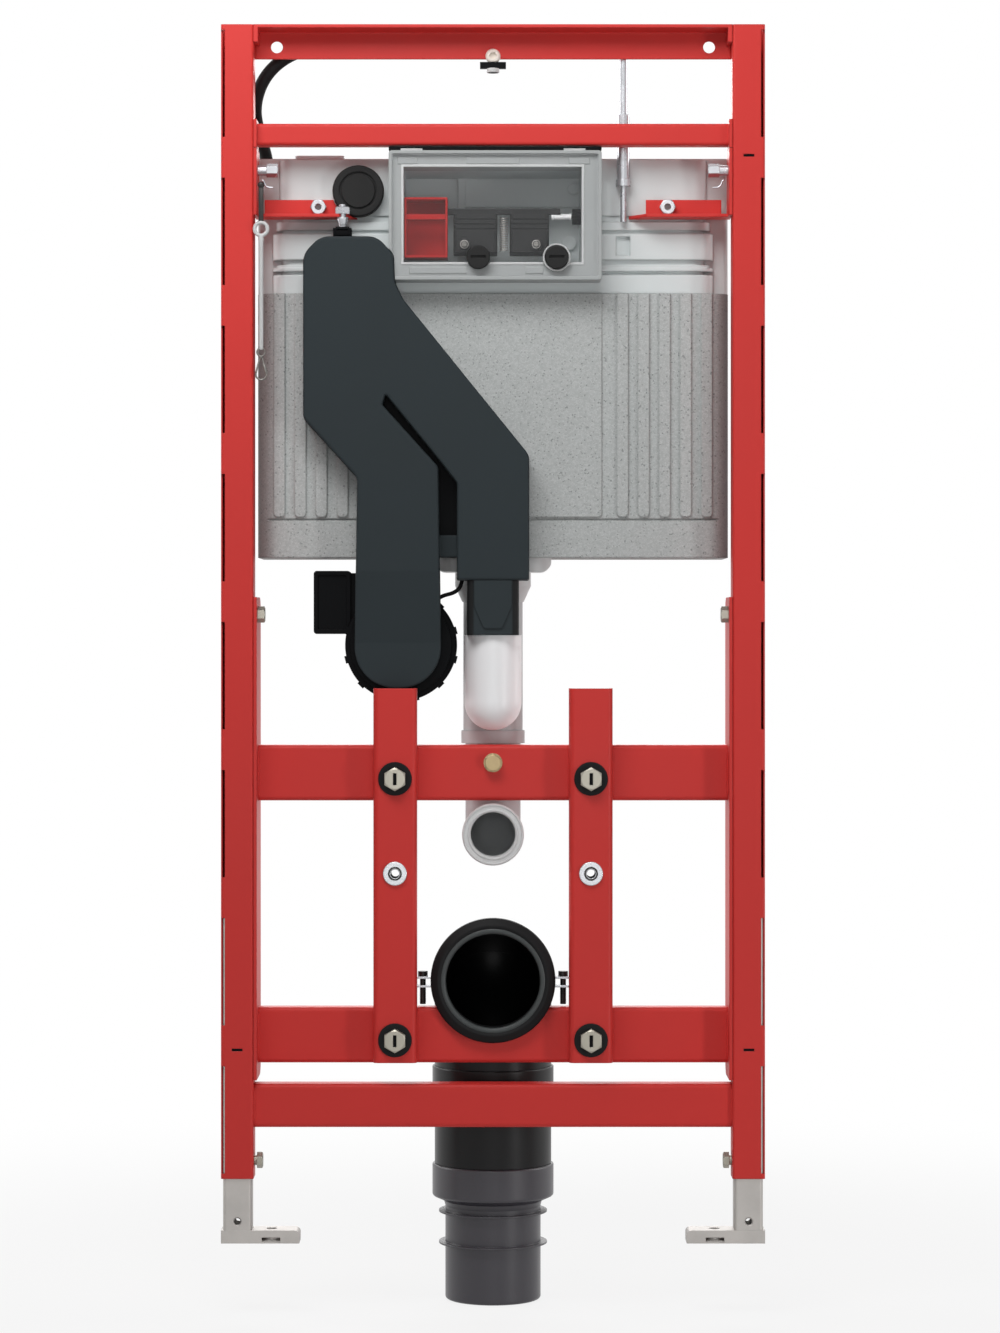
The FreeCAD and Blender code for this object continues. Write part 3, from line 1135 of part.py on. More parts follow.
def extraction_duct():
    """Flat moulded duct with rounded front edges and two legs: the left one slants back to
    the fan's round cover, the right one leads to the flush pipe. A web joins them."""
    body = duct_envelope(0.0, DUCT_FRONT, BODY_SEAT)
    front_edges = [edge for edge in body.Edges if edge.BoundBox.YMax < DUCT_FRONT + 0.01]
    body = body.makeFillet(DUCT_ROUND, front_edges)
    low = FAN_HEIGHT - 2 * FAN_RADIUS
    wedge = prism([(0, DUCT_SLANT_TOP), (DUCT_FRONT, DUCT_SLANT_TOP), (DUCT_DISC_FRONT, DUCT_SLANT_BOTTOM),
                   (DUCT_DISC_FRONT, low), (0, low)], "YZ", DUCT_LEG_LEFT - 1, DUCT_LEG_RIGHT + 1)
    web_bottom = JACKET_BOTTOM
    web = slab(DUCT_LEG_RIGHT - DUCT_ROUND, -CONNECTOR_WIDTH / 2, DUCT_WEB_FRONT, BODY_SEAT, web_bottom,
               web_bottom + DUCT_WEB_RISE)
    return fuse([body.cut(wedge), web])


def fan_housing():
    """Round fan housing behind the duct's left leg, with lugs round its rim and a hub."""
    neck = FAN_RADIUS - FAN_NECK_INSET
    profile = [(0, 0), (neck, 0), (neck, FAN_NECK), (FAN_RADIUS, FAN_NECK), (FAN_RADIUS, FAN_LENGTH),
               (FAN_HUB_RADIUS, FAN_LENGTH), (FAN_HUB_RADIUS, FAN_LENGTH + FAN_HUB), (0, FAN_LENGTH + FAN_HUB)]
    centre = Vec(FAN_X, BODY_SEAT, FAN_HEIGHT)
    parts = [turned(profile, centre, BACK, [0, 0, 0, 2.0, 4.0, 0, 3.0, 0])]
    for index in range(FAN_LUGS):
        lug = slab(0, FAN_RADIUS + FAN_LUG, FAN_NECK, FAN_NECK + FAN_LUG_DEPTH, -FAN_LUG_WIDTH / 2, FAN_LUG_WIDTH / 2)
        lug.rotate(Vec(0, 0, 0), BACK, 360 * (index + 0.5) / FAN_LUGS)
        lug.translate(centre)
        parts.append(lug)
    return fuse(parts)


def power_box():
    """Small box for the fan's supply, on a neck from the housing."""
    front = BODY_SEAT + POWER_SETBACK
    points = rectangle(POWER_LEFT, POWER_BOTTOM, POWER_RIGHT, POWER_TOP)
    body = prism(points, "XZ", front, front + POWER_DEPTH, POWER_CORNER)
    recess = prism(rectangle(POWER_LEFT + POWER_RECESS, POWER_BOTTOM + POWER_RECESS, POWER_RIGHT - POWER_RECESS,
                             POWER_TOP - POWER_RECESS), "XZ", 0, front + POWER_RECESS / 2, POWER_CORNER / 2)
    neck = slab(POWER_RIGHT - 1, FAN_X - POWER_NECK_REACH, front + POWER_NECK_INSET,
                front + POWER_NECK_INSET + POWER_NECK_DEPTH, POWER_BOTTOM + POWER_NECK_INSET,
                POWER_TOP - POWER_NECK_INSET / 2)
    housing = rod(FAN_RADIUS, Vec(FAN_X, 0, FAN_HEIGHT), BACK, 2 * TANK_BACK)
    return fuse([body.cut(recess), neck]).cut(housing)


def fan_cable():
    """Short cable from the fan's rim to the underside of the outlet flange."""
    depth = BODY_SEAT + FAN_NECK + FAN_CABLE_SETBACK
    outward = Vec(cos(radians(FAN_CABLE_ANGLE)), 0, sin(radians(FAN_CABLE_ANGLE)))
    centre = Vec(FAN_X, depth, FAN_HEIGHT)
    start = centre + outward * FAN_RADIUS
    points = [start - outward * FAN_CABLE_RADIUS, centre + outward * (FAN_RADIUS + 3 * FAN_CABLE_RADIUS)]
    points += [Vec(x, depth, height) for x, height in FAN_CABLE_BENDS]
    points.append(Vec(FAN_CABLE_END_X, depth, FLANGE_BOTTOM))
    cable = swept(rounded_path(points), points[0], outward, FAN_CABLE_RADIUS)
    return cable.cut(fan_housing())


def duct_hanger():
    """Block, cone, stud and nut that hang the duct from the left bracket's lip."""
    rise = BRACKET_BOTTOM - DUCT_TOP
    lip = rise + BRACKET_PLATE
    neck = HANGER_NECK_RADIUS
    base = Vec(HANGER_X, HANGER_DEPTH, DUCT_TOP)
    profile = [(0, 0), (HANGER_BLOCK_RADIUS, 0), (HANGER_BLOCK_RADIUS, HANGER_BLOCK), (neck, HANGER_BLOCK),
               (neck, HANGER_BLOCK + 3), (HANGER_CONE_RADIUS, rise - 2), (HANGER_CONE_RADIUS, rise), (neck, rise),
               (neck, lip + HANGER_END), (0, lip + HANGER_END)]
    stud = turned(profile, base, UP, [0, 0.8, 0.8, 0, 0, 0, 0, 0, 0.6, 0])
    return stud.fuse(hex_head(HANGER_NUT_FLATS, base + UP * lip, UP, HANGER_NUT, HEX_TURN))


def duct_connector():
    """Connector between the duct's right leg and the cap, with a shield on its front."""
    half = CONNECTOR_WIDTH / 2
    back = FLUSH_AXIS - FLUSH_RADIUS + CONNECTOR_LAP
    body = prism(rectangle(-half, CONNECTOR_FRONT, half, back), "XY", CONNECTOR_BOTTOM, CONNECTOR_TOP,
                 CONNECTOR_CORNER)
    shield = prism([(-TONGUE_HALF, CONNECTOR_TOP), (-TONGUE_HALF, TONGUE_WAIST), (-TONGUE_TIP_HALF, TONGUE_BOTTOM),
                    (TONGUE_TIP_HALF, TONGUE_BOTTOM), (TONGUE_HALF, TONGUE_WAIST), (TONGUE_HALF, CONNECTOR_TOP)],
                   "XZ", CONNECTOR_FRONT - TONGUE, CONNECTOR_FRONT + 1, [0, 6.0, 3.0, 3.0, 6.0, 0])
    pipe = rod(FLUSH_RADIUS, Vec(0, FLUSH_AXIS, 0), UP, FRAME_HEIGHT)
    neck = rod(NUT_NECK_RADIUS, Vec(0, FLUSH_AXIS, NUT_BOTTOM), UP, FRAME_HEIGHT)
    return fuse([body, shield]).cut([pipe, neck])


def filter_cap():
    """White cap with a round bottom that seats on the flush pipe's front."""
    axis = CAP_FRONT + CAP_RADIUS
    ball = Part.makeSphere(CAP_RADIUS, Vec(0, axis, CAP_BOTTOM + CAP_RADIUS))
    barrel = rod(CAP_RADIUS, Vec(0, axis, CAP_BOTTOM + CAP_RADIUS), UP, CONNECTOR_BOTTOM - CAP_BOTTOM - CAP_RADIUS)
    pipe = rod(FLUSH_RADIUS, Vec(0, FLUSH_AXIS, 0), UP, FRAME_HEIGHT)
    return fuse([ball, barrel]).cut(pipe)


# Drain
def drain_halves():
    """The bend in two butt-welded halves, parted on the slant through the bend's centre."""
    mouth = RIM_FRONT + RIM_LENGTH
    path = bend_path(mouth, DRAIN_AXIS, DRAIN_HEIGHT, DRAIN_JOINT, DRAIN_BEND)
    start = Vec(0, mouth, DRAIN_HEIGHT)
    whole = swept(path, start, BACK, DRAIN_RADIUS).cut(swept(path, start, BACK, DRAIN_RADIUS - DRAIN_WALL))
    centre = (DRAIN_AXIS - DRAIN_BEND, DRAIN_HEIGHT - DRAIN_BEND)
    reach = 2 * (DRAIN_BEND + DRAIN_RADIUS)
    below = prism([centre, (centre[0] + reach, centre[1] + reach), (centre[0] + reach, 0), (centre[0], 0)], "YZ",
                  -reach, reach)
    return whole.cut(below), whole.common(below)


def drain_pipe():
    """Straight pipe under the bend, with the collar in which the bend's end stands."""
    inner = DRAIN_RADIUS - DRAIN_WALL
    edge = DRAIN_COLLAR_EDGE
    profile = [(inner, DRAIN_FOOT), (DRAIN_RADIUS, DRAIN_FOOT), (DRAIN_RADIUS, DRAIN_COLLAR_BOTTOM),
               (DRAIN_COLLAR_RADIUS, DRAIN_COLLAR_BOTTOM), (DRAIN_COLLAR_RADIUS, DRAIN_COLLAR_TOP),
               (DRAIN_RADIUS, DRAIN_COLLAR_TOP), (DRAIN_RADIUS, DRAIN_JOINT), (inner, DRAIN_JOINT)]
    return turned(profile, Vec(0, DRAIN_AXIS, 0), UP, [0, 0, 0, edge, edge, 0, 0, 0])


def drain_seal():
    """Rubber rim of the drain's mouth, with a rounded front lip."""
    depth = RIM_FRONT + RIM_LENGTH
    bore = DRAIN_RADIUS - DRAIN_WALL
    profile = [(RIM_MOUTH_RADIUS, -RIM_SLEEVE), (bore, -RIM_SLEEVE), (bore, 0), (RIM_RADIUS, 0),
               (RIM_RADIUS, RIM_LENGTH - RIM_CHAMFER_DEPTH), (RIM_RADIUS - RIM_CHAMFER, RIM_LENGTH),
               (RIM_MOUTH_RADIUS, RIM_LENGTH - RIM_DISH)]
    return turned(profile, Vec(0, depth, DRAIN_HEIGHT), FRONT, [0, 0, 0, 0, 3.0, 2.0, 1.0])


def strap_half(side):
    """Half of the strap round the drain, with an ear at each end."""
    split = DRAIN_HEIGHT - EAR_DROP + side * EAR_GAP / 2
    ring = Part.makeCylinder(STRAP_RADIUS, STRAP_WIDTH, Vec(0, STRAP_FRONT, DRAIN_HEIGHT), BACK)
    reach = 2 * EAR_REACH
    low, high = sorted((split, split + side * reach))
    half = ring.common(slab(-reach, reach, 0, 2 * RAIL_BACK, low, high))
    ears = []
    for end in (-1, 1):
        near, far = sorted((end * (DRAIN_RADIUS - EAR_LAP), end * EAR_REACH))
        bottom, top = sorted((split, split + side * EAR_THICK))
        ears.append(slab(near, far, STRAP_FRONT, STRAP_FRONT + STRAP_WIDTH, bottom, top))
    bore = rod(DRAIN_RADIUS, Vec(0, 0, DRAIN_HEIGHT), BACK, 2 * RAIL_BACK)
    depth = STRAP_FRONT + STRAP_WIDTH / 2
    holes = [rod(CLAMP_SCREW_RADIUS + CLAMP_HOLE_GAP, Vec(end * CLAMP_SCREW_X, depth, 0), UP, FRAME_HEIGHT)
             for end in (-1, 1)]
    return fuse([half] + ears).cut([bore] + holes)


def clamp_screw(end):
    """Upright screw that pulls the strap's ears together."""
    top = DRAIN_HEIGHT - EAR_DROP + EAR_GAP / 2 + EAR_THICK
    base = Vec(end * CLAMP_SCREW_X, STRAP_FRONT + STRAP_WIDTH / 2, top)
    head = rod(CLAMP_HEAD_RADIUS, base, UP, CLAMP_HEAD)
    return head.fuse(rod(CLAMP_SCREW_RADIUS, base, DOWN, CLAMP_SCREW_LENGTH))


def drain_adapter():
    """Reducer under the drain, with two thin rings on its spigot."""
    inner = ADAPTER_RADIUS - ADAPTER_WALL
    profile = [(inner, ADAPTER_BOTTOM), (ADAPTER_RADIUS, ADAPTER_BOTTOM),
               (ADAPTER_RADIUS, ADAPTER_COLLAR_BOTTOM - 2 * ADAPTER_CONE),
               (ADAPTER_CONE_RADIUS, ADAPTER_COLLAR_BOTTOM - ADAPTER_CONE),
               (ADAPTER_COLLAR_RADIUS, ADAPTER_COLLAR_BOTTOM), (ADAPTER_COLLAR_RADIUS, DRAIN_FOOT),
               (inner, DRAIN_FOOT)]
    body = turned(profile, Vec(0, DRAIN_AXIS, 0), UP, [1.0, 3.0, 0, 0, 3.0, 1.5, 0])
    rings = [rod(ADAPTER_RING_RADIUS, Vec(0, DRAIN_AXIS, height - ADAPTER_RING / 2), UP, ADAPTER_RING)
             for height in ADAPTER_RING_HEIGHTS]
    bore = rod(inner, Vec(0, DRAIN_AXIS, ADAPTER_BOTTOM - 1), UP, DRAIN_FOOT - ADAPTER_BOTTOM + 2)
    return fuse([body] + rings).cut(bore)


# Small fittings
def top_bolt():
    """Domed bolt with a hexagon socket on the top rail's web."""
    base = Vec(0, COLUMN_DEPTH - TOP_WEB, TOP_BOLT_HEIGHT)
    profile = [(0, 0), (TOP_BOLT_RADIUS, 0), (TOP_BOLT_RADIUS, TOP_BOLT_HEAD), (0, TOP_BOLT_HEAD)]
    head = turned(profile, base, FRONT, [0, 0, TOP_BOLT_DOME, 0])
    return head.cut(hex_rod(TOP_BOLT_SOCKET, base + FRONT * TOP_BOLT_HEAD, BACK, TOP_BOLT_SOCKET_DEPTH))


def top_clip():
    """Clip that hangs under the top rail's web, with a short stub below it."""
    half = TOP_CLIP_WIDTH / 2
    web_front = COLUMN_DEPTH - TOP_WEB
    clip = slab(-half, half, COLUMN_DEPTH - TOP_CLIP_DEPTH, COLUMN_DEPTH, TOP_CLIP_BOTTOM, TOP_CLIP_TOP)
    post = slab(-TOP_POST_HALF, TOP_POST_HALF, web_front, COLUMN_DEPTH, TOP_CLIP_TOP, FRAME_HEIGHT - TOP_WEB_HEIGHT)
    stub = rod(TOP_STUB_RADIUS, Vec(0, COLUMN_DEPTH - TOP_STUB_RADIUS, TOP_CLIP_BOTTOM - TOP_STUB), UP, TOP_STUB)
    head = rod(TOP_BOLT_RADIUS, Vec(0, web_front, TOP_BOLT_HEIGHT), FRONT, TOP_BOLT_HEAD)
    return fuse([clip, post, stub]).cut(head)


def rail_bolt():
    base = Vec(0, RAIL_FRONT, RAIL_BOLT_HEIGHT)
    washer = rod(RAIL_BOLT_FLATS / 2 + RAIL_WASHER, base, FRONT, RAIL_WASHER)
    return washer.fuse(hex_head(RAIL_BOLT_FLATS, base + FRONT * RAIL_WASHER, FRONT, RAIL_BOLT_HEAD, HEX_TURN))


def tie_rod():
    """Screwed rod behind the upper rail, from the top rail down to the tank's front."""
    pin = TANK_BASE + TIE_PIN_RISE
    collar = TANK_BASE + TIE_COLLAR_RISE
    sleeve_top = UPPER_RAIL_HEIGHT + TIE_SLEEVE_OVER_RAIL
    nut = FRAME_HEIGHT - TIE_NUT_DROP
    end = FRAME_HEIGHT - TIE_END_DROP
    profile = [(0, pin), (TIE_PIN_RADIUS, pin), (TIE_PIN_RADIUS, collar), (TIE_COLLAR_RADIUS, collar),
               (TIE_COLLAR_RADIUS, collar + TIE_COLLAR), (TIE_SLEEVE_RADIUS, collar + TIE_COLLAR),
               (TIE_SLEEVE_RADIUS, sleeve_top), (TIE_ROD_RADIUS, sleeve_top), (TIE_ROD_RADIUS, nut),
               (TIE_NUT_RADIUS, nut), (TIE_NUT_RADIUS, nut + TIE_NUT), (TIE_END_RADIUS, nut + TIE_NUT),
               (TIE_END_RADIUS, end), (0, end)]
    return turned(profile, Vec(TIE_X, TIE_DEPTH, 0), UP)


def hanging_rod():
    """Strap on a peg beside the left bracket, with a ring and a light rod below it."""
    half = HOOK_STRAP_WIDTH / 2
    strap = slab(HOOK_X - half, HOOK_X + half, HOOK_DEPTH - 1, HOOK_DEPTH + 1, HOOK_STRAP_BOTTOM, HOOK_STRAP_TOP)
    peg = rod(HOOK_PEG_RADIUS, Vec(HOOK_X, HOOK_DEPTH - 2, HOOK_STRAP_TOP), BACK, 2 - HOOK_DEPTH + HOOK_PEG_REACH)
    ring = Part.makeTorus(HOOK_RING_RADIUS, HOOK_WIRE_RADIUS, Vec(HOOK_X, HOOK_DEPTH, HOOK_RING_HEIGHT), BACK)
    stem = rod(HOOK_ROD_RADIUS, Vec(HOOK_X, HOOK_DEPTH, HOOK_ROD_BOTTOM), UP, HOOK_ROD_LENGTH)
    return fuse([strap, peg, ring, stem])


def snap_hook():
    """Snap hook at the rod's end: a long closed loop under an eye."""
    half = HOOK_BODY_WIDTH / 2
    wall = HOOK_WIRE_RADIUS
    bottom = HOOK_ROD_BOTTOM - HOOK_BODY_LENGTH
    outer = rectangle(HOOK_X - half, bottom, HOOK_X + half, HOOK_ROD_BOTTOM)
    inner = rectangle(HOOK_X - half + wall, bottom + wall, HOOK_X + half - wall, HOOK_ROD_BOTTOM - HOOK_EYE)
    rounding = 0.88 * half
    body = prism(outer, "XZ", HOOK_DEPTH - wall, HOOK_DEPTH + wall, rounding)
    return body.cut(prism(inner, "XZ", HOOK_DEPTH - 2 * wall, HOOK_DEPTH + 2 * wall, rounding - wall))


def inlet_elbow():
    """Elbow in the tank's niche, with the nut of the supply hose on top."""
    level = Vec(-TANK_FACE_HALF, ELBOW_DEPTH, ELBOW_HEIGHT)
    turn = level - Vec(ELBOW_REACH, 0, 0)
    arm = rod(ELBOW_RADIUS, level, Vec(-1, 0, 0), ELBOW_REACH)
    ball = Part.makeSphere(ELBOW_RADIUS, turn)
    upright = rod(ELBOW_RADIUS, turn, UP, ELBOW_RISE / 2)
    nut = hex_head(ELBOW_NUT_FLATS, turn + UP * (ELBOW_RISE / 2), UP, ELBOW_RISE / 2)
    return fuse([arm, ball, upright, nut])


def supply_hose():
    """Black hose held behind the top rail, down behind the left column to the inlet elbow."""
    depth = COLUMN_DEPTH + HOSE_RADIUS + HOSE_GAP
    end = Vec(-TANK_FACE_HALF - ELBOW_REACH, ELBOW_DEPTH, ELBOW_HEIGHT + ELBOW_RISE)
    points = [Vec(inset - INNER_X, depth + setback, FRAME_HEIGHT - drop) for inset, setback, drop in HOSE_ROUTE]
    points += [end + Vec(*HOSE_LAST_BEND), end + UP * HOSE_LAST_RUN, end]
    return swept(rounded_path(points), points[0], points[1] - points[0], HOSE_RADIUS)


def build():
    """Every sub-part by name; a list holds like pieces that share a name."""
    sides = (-1, 1)
    parts = {}
    for side, name in ((-1, "left"), (1, "right")):
        parts["column_" + name] = [column(side)]
        parts["side_plate_" + name] = [side_plate(side)]
        parts["mounting_bar_" + name] = [mounting_bar(side)]
        parts["bracket_" + name] = [bracket(side)]
        parts["leg_" + name] = [leg(side)]
        parts["shoe_" + name] = [shoe(side)]
    parts["top_rail"] = [top_rail()]
    parts["upper_rail"] = [upper_rail()]
    parts["mounting_rail_upper"] = [mounting_rail(UPPER_MOUNTING_HEIGHT)]
    parts["mounting_rail_lower"] = [lower_mounting_rail()]
    parts["bottom_rail"] = [bottom_rail()]
    parts["bar_washers"] = [bar_washer(side, height) for side in sides for height in BAR_BOLT_HEIGHTS]
    parts["bar_bolts"] = [bar_bolt(side, height) for side in sides for height in BAR_BOLT_HEIGHTS]
    parts["stud_sleeves"] = [stud_sleeve(side) for side in sides]
    parts["side_plate_bolts"] = [plate_bolt(side) for side in sides]
    parts["leg_clamp_screws"] = [leg_screw(side) for side in sides]
    parts["cistern_tank"] = [cistern_tank()]
    parts["cistern_jacket"] = [cistern_jacket()]
    parts["inspection_frame"] = [inspection_frame()]
    parts["hatch_seal"] = [hatch_seal()]
    parts["splash_cover"] = [splash_cover()]
    parts["cover_knobs"] = [cover_knob(x) for x in KNOB_PLACES]
    parts["flush_tray"] = [flush_tray()]
    parts["lever_bar"] = [lever_bar()]
    parts["adjusting_wheel"] = [adjusting_wheel()]
    parts["valve_blocks"] = [valve_block(left, right, boss) for (left, right), boss in
                             zip(VALVE_BLOCKS, VALVE_BOSS_X)]
    parts["blanking_plug"] = [blanking_plug()]
    parts["bracket_nuts"] = [bracket_nut(side) for side in sides]
    parts["bracket_bolts"] = [side_bolt(side) for side in sides]
    parts["outlet_nut"] = [outlet_nut()]
    parts["flush_pipe"] = [flush_pipe()]
    parts["flush_seal"] = [flush_seal()]
    parts["extraction_duct"] = [extraction_duct()]
    parts["fan_housing"] = [fan_housing()]
    parts["power_box"] = [power_box()]
    parts["fan_cable"] = [fan_cable()]
    parts["duct_hanger"] = [duct_hanger()]
    parts["duct_connector"] = [duct_connector()]
    parts["filter_cap"] = [filter_cap()]
    for name, half in zip(("drain_bend", "drain_knee"), drain_halves()):
        parts[name] = [half]
    parts["drain_pipe"] = [drain_pipe()]
    parts["drain_seal"] = [drain_seal()]
    parts["drain_strap"] = [strap_half(1), strap_half(-1)]
    parts["strap_screws"] = [clamp_screw(end) for end in sides]
    parts["drain_adapter"] = [drain_adapter()]
    parts["top_bolt"] = [top_bolt()]
    parts["top_clip"] = [top_clip()]
    parts["rail_bolt"] = [rail_bolt()]
    parts["tie_rod"] = [tie_rod()]
    parts["hanging_rod"] = [hanging_rod()]
    parts["snap_hook"] = [snap_hook()]
    parts["inlet_elbow"] = [inlet_elbow()]
    parts["supply_hose"] = [supply_hose()]
    return parts


def write(parts):
    """Move each sub-part to the origin on the left foot's sole and write it."""
    os.makedirs("parts", exist_ok=True)
    to_origin = Vec(COLUMN_X, -COLUMN_DEPTH / 2, 0)
    for name, solids in parts.items():
        shape = solids[0] if len(solids) == 1 else Part.makeCompound(solids)
        shape = shape.copy()
        shape.translate(to_origin)
        shape.exportStep("parts/" + name + ".step")
        print(name, len(shape.Solids), "solid", round(shape.Volume / 1000, 1), "cm3", shape.isValid())


write(build())
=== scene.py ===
# %% [markdown]
# # A wall hung toilet frame
# This lesson dresses a finished construction: a red steel frame that stands
# behind a bathroom wall and carries the toilet bowl, its concealed cistern,
# the pipes and an air duct. The construction comes in as a fixed frame, so the
# first step loads it, keeps its outer box, and lets go of everything that the
# import left selected.
# %% Load the frame
import bpy
import bmesh
import math
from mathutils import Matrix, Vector


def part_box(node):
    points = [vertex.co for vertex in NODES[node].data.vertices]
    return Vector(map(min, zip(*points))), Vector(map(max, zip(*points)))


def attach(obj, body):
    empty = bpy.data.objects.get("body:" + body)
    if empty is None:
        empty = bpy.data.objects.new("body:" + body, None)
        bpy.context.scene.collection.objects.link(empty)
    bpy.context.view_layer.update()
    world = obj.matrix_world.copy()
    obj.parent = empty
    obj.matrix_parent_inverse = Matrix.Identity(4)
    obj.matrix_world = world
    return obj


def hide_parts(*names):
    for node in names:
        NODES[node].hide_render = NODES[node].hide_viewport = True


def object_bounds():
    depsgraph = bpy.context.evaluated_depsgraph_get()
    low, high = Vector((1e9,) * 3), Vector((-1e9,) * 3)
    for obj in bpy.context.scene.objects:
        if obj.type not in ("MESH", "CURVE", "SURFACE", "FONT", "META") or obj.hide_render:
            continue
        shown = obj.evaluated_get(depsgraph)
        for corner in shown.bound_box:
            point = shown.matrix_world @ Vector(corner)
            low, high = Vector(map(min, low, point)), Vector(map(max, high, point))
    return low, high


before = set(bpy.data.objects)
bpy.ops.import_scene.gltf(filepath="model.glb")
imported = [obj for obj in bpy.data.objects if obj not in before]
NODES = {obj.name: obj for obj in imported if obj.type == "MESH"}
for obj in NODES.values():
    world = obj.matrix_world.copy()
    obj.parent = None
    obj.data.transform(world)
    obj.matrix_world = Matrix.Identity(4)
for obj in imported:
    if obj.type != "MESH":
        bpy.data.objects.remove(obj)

FRAME_BODY = "frame"
cad_low, cad_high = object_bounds()
MM = 0.001


def deselect():
    """Leaves nothing selected, so that an operator acts on one piece only."""
    for thing in bpy.context.selected_objects:
        thing.select_set(False)


deselect()
print(len(NODES), "parts of the construction")

# %% [markdown]
# The places that the looks need are measured on the construction itself: the
# middle of the frame and the front plane of the columns. A maker reads this
# frame in millimetres from its middle, back from the columns' front and up
# from the floor, so one helper turns such a place into a point of the scene.
# %% Measure the places
left_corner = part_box("column_left")[0]
right_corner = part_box("column_right")[1]
MIDDLE = (left_corner.x + right_corner.x) / 2
FRONT = left_corner.y
RIGHTWARD = Vector((1, 0, 0))
BACKWARD = Vector((0, 1, 0))
UPWARD = Vector((0, 0, 1))
ORIGIN = Vector((0, 0, 0))
SIDES = (-1, 1)


def at(x, depth, height):
    """A point from millimetres beside the middle, behind the front and above the floor."""
    return Vector((MIDDLE + x * MM, FRONT + depth * MM, height * MM))


print("middle", round(MIDDLE, 4), "front", round(FRONT, 4))

# %% [markdown]
# ## Camera
# The photograph was taken straight on from about the frame's mid height, with
# very little perspective. A long lens 3.5 m away gives that. The lens looks
# level, and a small shift frames the picture, so that upright lines stay
# upright.
# %% Place the camera
CAMERA_DISTANCE = 3.5
CAMERA_HEIGHT = 0.560
PIXELS_PER_METRE = 1089.0
PICTURE_HEIGHT = 1333.0
SHIFT_RIGHT = 7.0
SHIFT_DOWN = 32.5
scene = bpy.context.scene
lens_data = bpy.data.cameras.new("camera")
camera = bpy.data.objects.new("camera", lens_data)
scene.collection.objects.link(camera)
scene.camera = camera
camera.location = (MIDDLE, FRONT - CAMERA_DISTANCE, CAMERA_HEIGHT)
camera.rotation_euler = (math.radians(90), 0, 0)
picture_in_metres = PICTURE_HEIGHT / PIXELS_PER_METRE
lens_data.lens = lens_data.sensor_width * CAMERA_DISTANCE / picture_in_metres
lens_data.shift_x = SHIFT_RIGHT / PICTURE_HEIGHT
lens_data.shift_y = -SHIFT_DOWN / PICTURE_HEIGHT
print("lens", round(lens_data.lens, 1), "mm")

# %% [markdown]
# ## Light
# The studio is white all round. A weak world light fills every corner. It
# shows as white to the camera, to mirrors and through clear plastic, but
# lights the object at its own level. A few short helpers build its nodes: an
# input is given a plain value or the socket that feeds it.
# %% Set the world
WORLD_LIGHT = 0.09
FILL_COLOUR = (0.97, 0.98, 1.0, 1)
WHITE = (1, 1, 1, 1)
scene.view_settings.view_transform = "Standard"


def feed(tree, node, inputs):
    """Sets a node's inputs by name or number: a socket is linked, the rest are values."""
    for name, value in inputs.items():
        if isinstance(value, bpy.types.NodeSocket):
            tree.links.new(value, node.inputs[name])
        else:
            node.inputs[name].default_value = value


def new_node(tree, kind, inputs=None, **settings):
    """Adds a node with its settings and inputs."""
    node = tree.nodes.new(kind)
    for name, value in settings.items():
        setattr(node, name, value)
    feed(tree, node, inputs or {})
    return node


def math_node(tree, operation, *values):
    """Works out one value from one or two, each a socket or a number."""
    return new_node(tree, "ShaderNodeMath", dict(enumerate(values)), operation=operation).outputs[0]


def seen_rays(tree):
    """1 for rays that show the studio: to the camera, in a mirror or through glass."""
    rays = new_node(tree, "ShaderNodeLightPath").outputs
    shown = math_node(tree, "MAXIMUM", rays["Is Camera Ray"], rays["Is Glossy Ray"])
    return math_node(tree, "MAXIMUM", shown, rays["Is Transmission Ray"])


world = bpy.data.worlds.new("studio")
scene.world = world
world.use_nodes = True
tree = world.node_tree
tree.nodes.clear()
fill = new_node(tree, "ShaderNodeBackground", {"Color": FILL_COLOUR, "Strength": WORLD_LIGHT})
white = new_node(tree, "ShaderNodeBackground", {"Color": WHITE})
pick = new_node(tree, "ShaderNodeMixShader",
                {0: seen_rays(tree), 1: fill.outputs[0], 2: white.outputs[0]})
new_node(tree, "ShaderNodeOutputWorld", {0: pick.outputs[0]})
print("world", world.name)

# %% [markdown]
# The key lamp stands close in front of the top, so the upper half is clearly
# brighter than the feet, as in the photograph. A weak lamp beside the camera
# looks into the pipes, a tall narrow one at the right draws an upright
# highlight on them, and three wide lamps keep the sides and the back
# readable. Places are in metres from the frame's middle.
# %% Set the lamps
LAMPS = (  # name, place, point it looks at, width and height, watts
    ("key_lamp", (-0.3, -0.85, 1.7), (0, 0, 1.0), (1.0, 0.6), 14),
    ("front_lamp", (0, -3.6, 0.75), (0, 0, 0.5), (0.9, 0.9), 11),
    ("strip_lamp", (1.5, -1.4, 0.3), (0, 0, 0.1), (0.2, 0.7), 8),
    ("left_lamp", (-2.0, 0.7, 0.9), (0, 0.1, 0.55), (0.8, 1.4), 18),
    ("right_lamp", (2.0, 0.7, 0.9), (0, 0.1, 0.55), (0.8, 1.4), 14),
    ("back_lamp", (0, 2.2, 1.6), (0, 0, 0.6), (1.6, 1.2), 32))
for name, place, target, size, watts in LAMPS:
    data = bpy.data.lights.new(name, "AREA")
    data.shape = "RECTANGLE"
    data.size, data.size_y = size
    data.energy = watts
    lamp = bpy.data.objects.new(name, data)
    scene.collection.objects.link(lamp)
    lamp.location = Vector(place) + RIGHTWARD * MIDDLE
    look = Vector(target) - Vector(place)
    lamp.rotation_euler = look.to_track_quat("-Z", "Y").to_euler()
    lamp.visible_camera = False
print(len(LAMPS), "lamps")

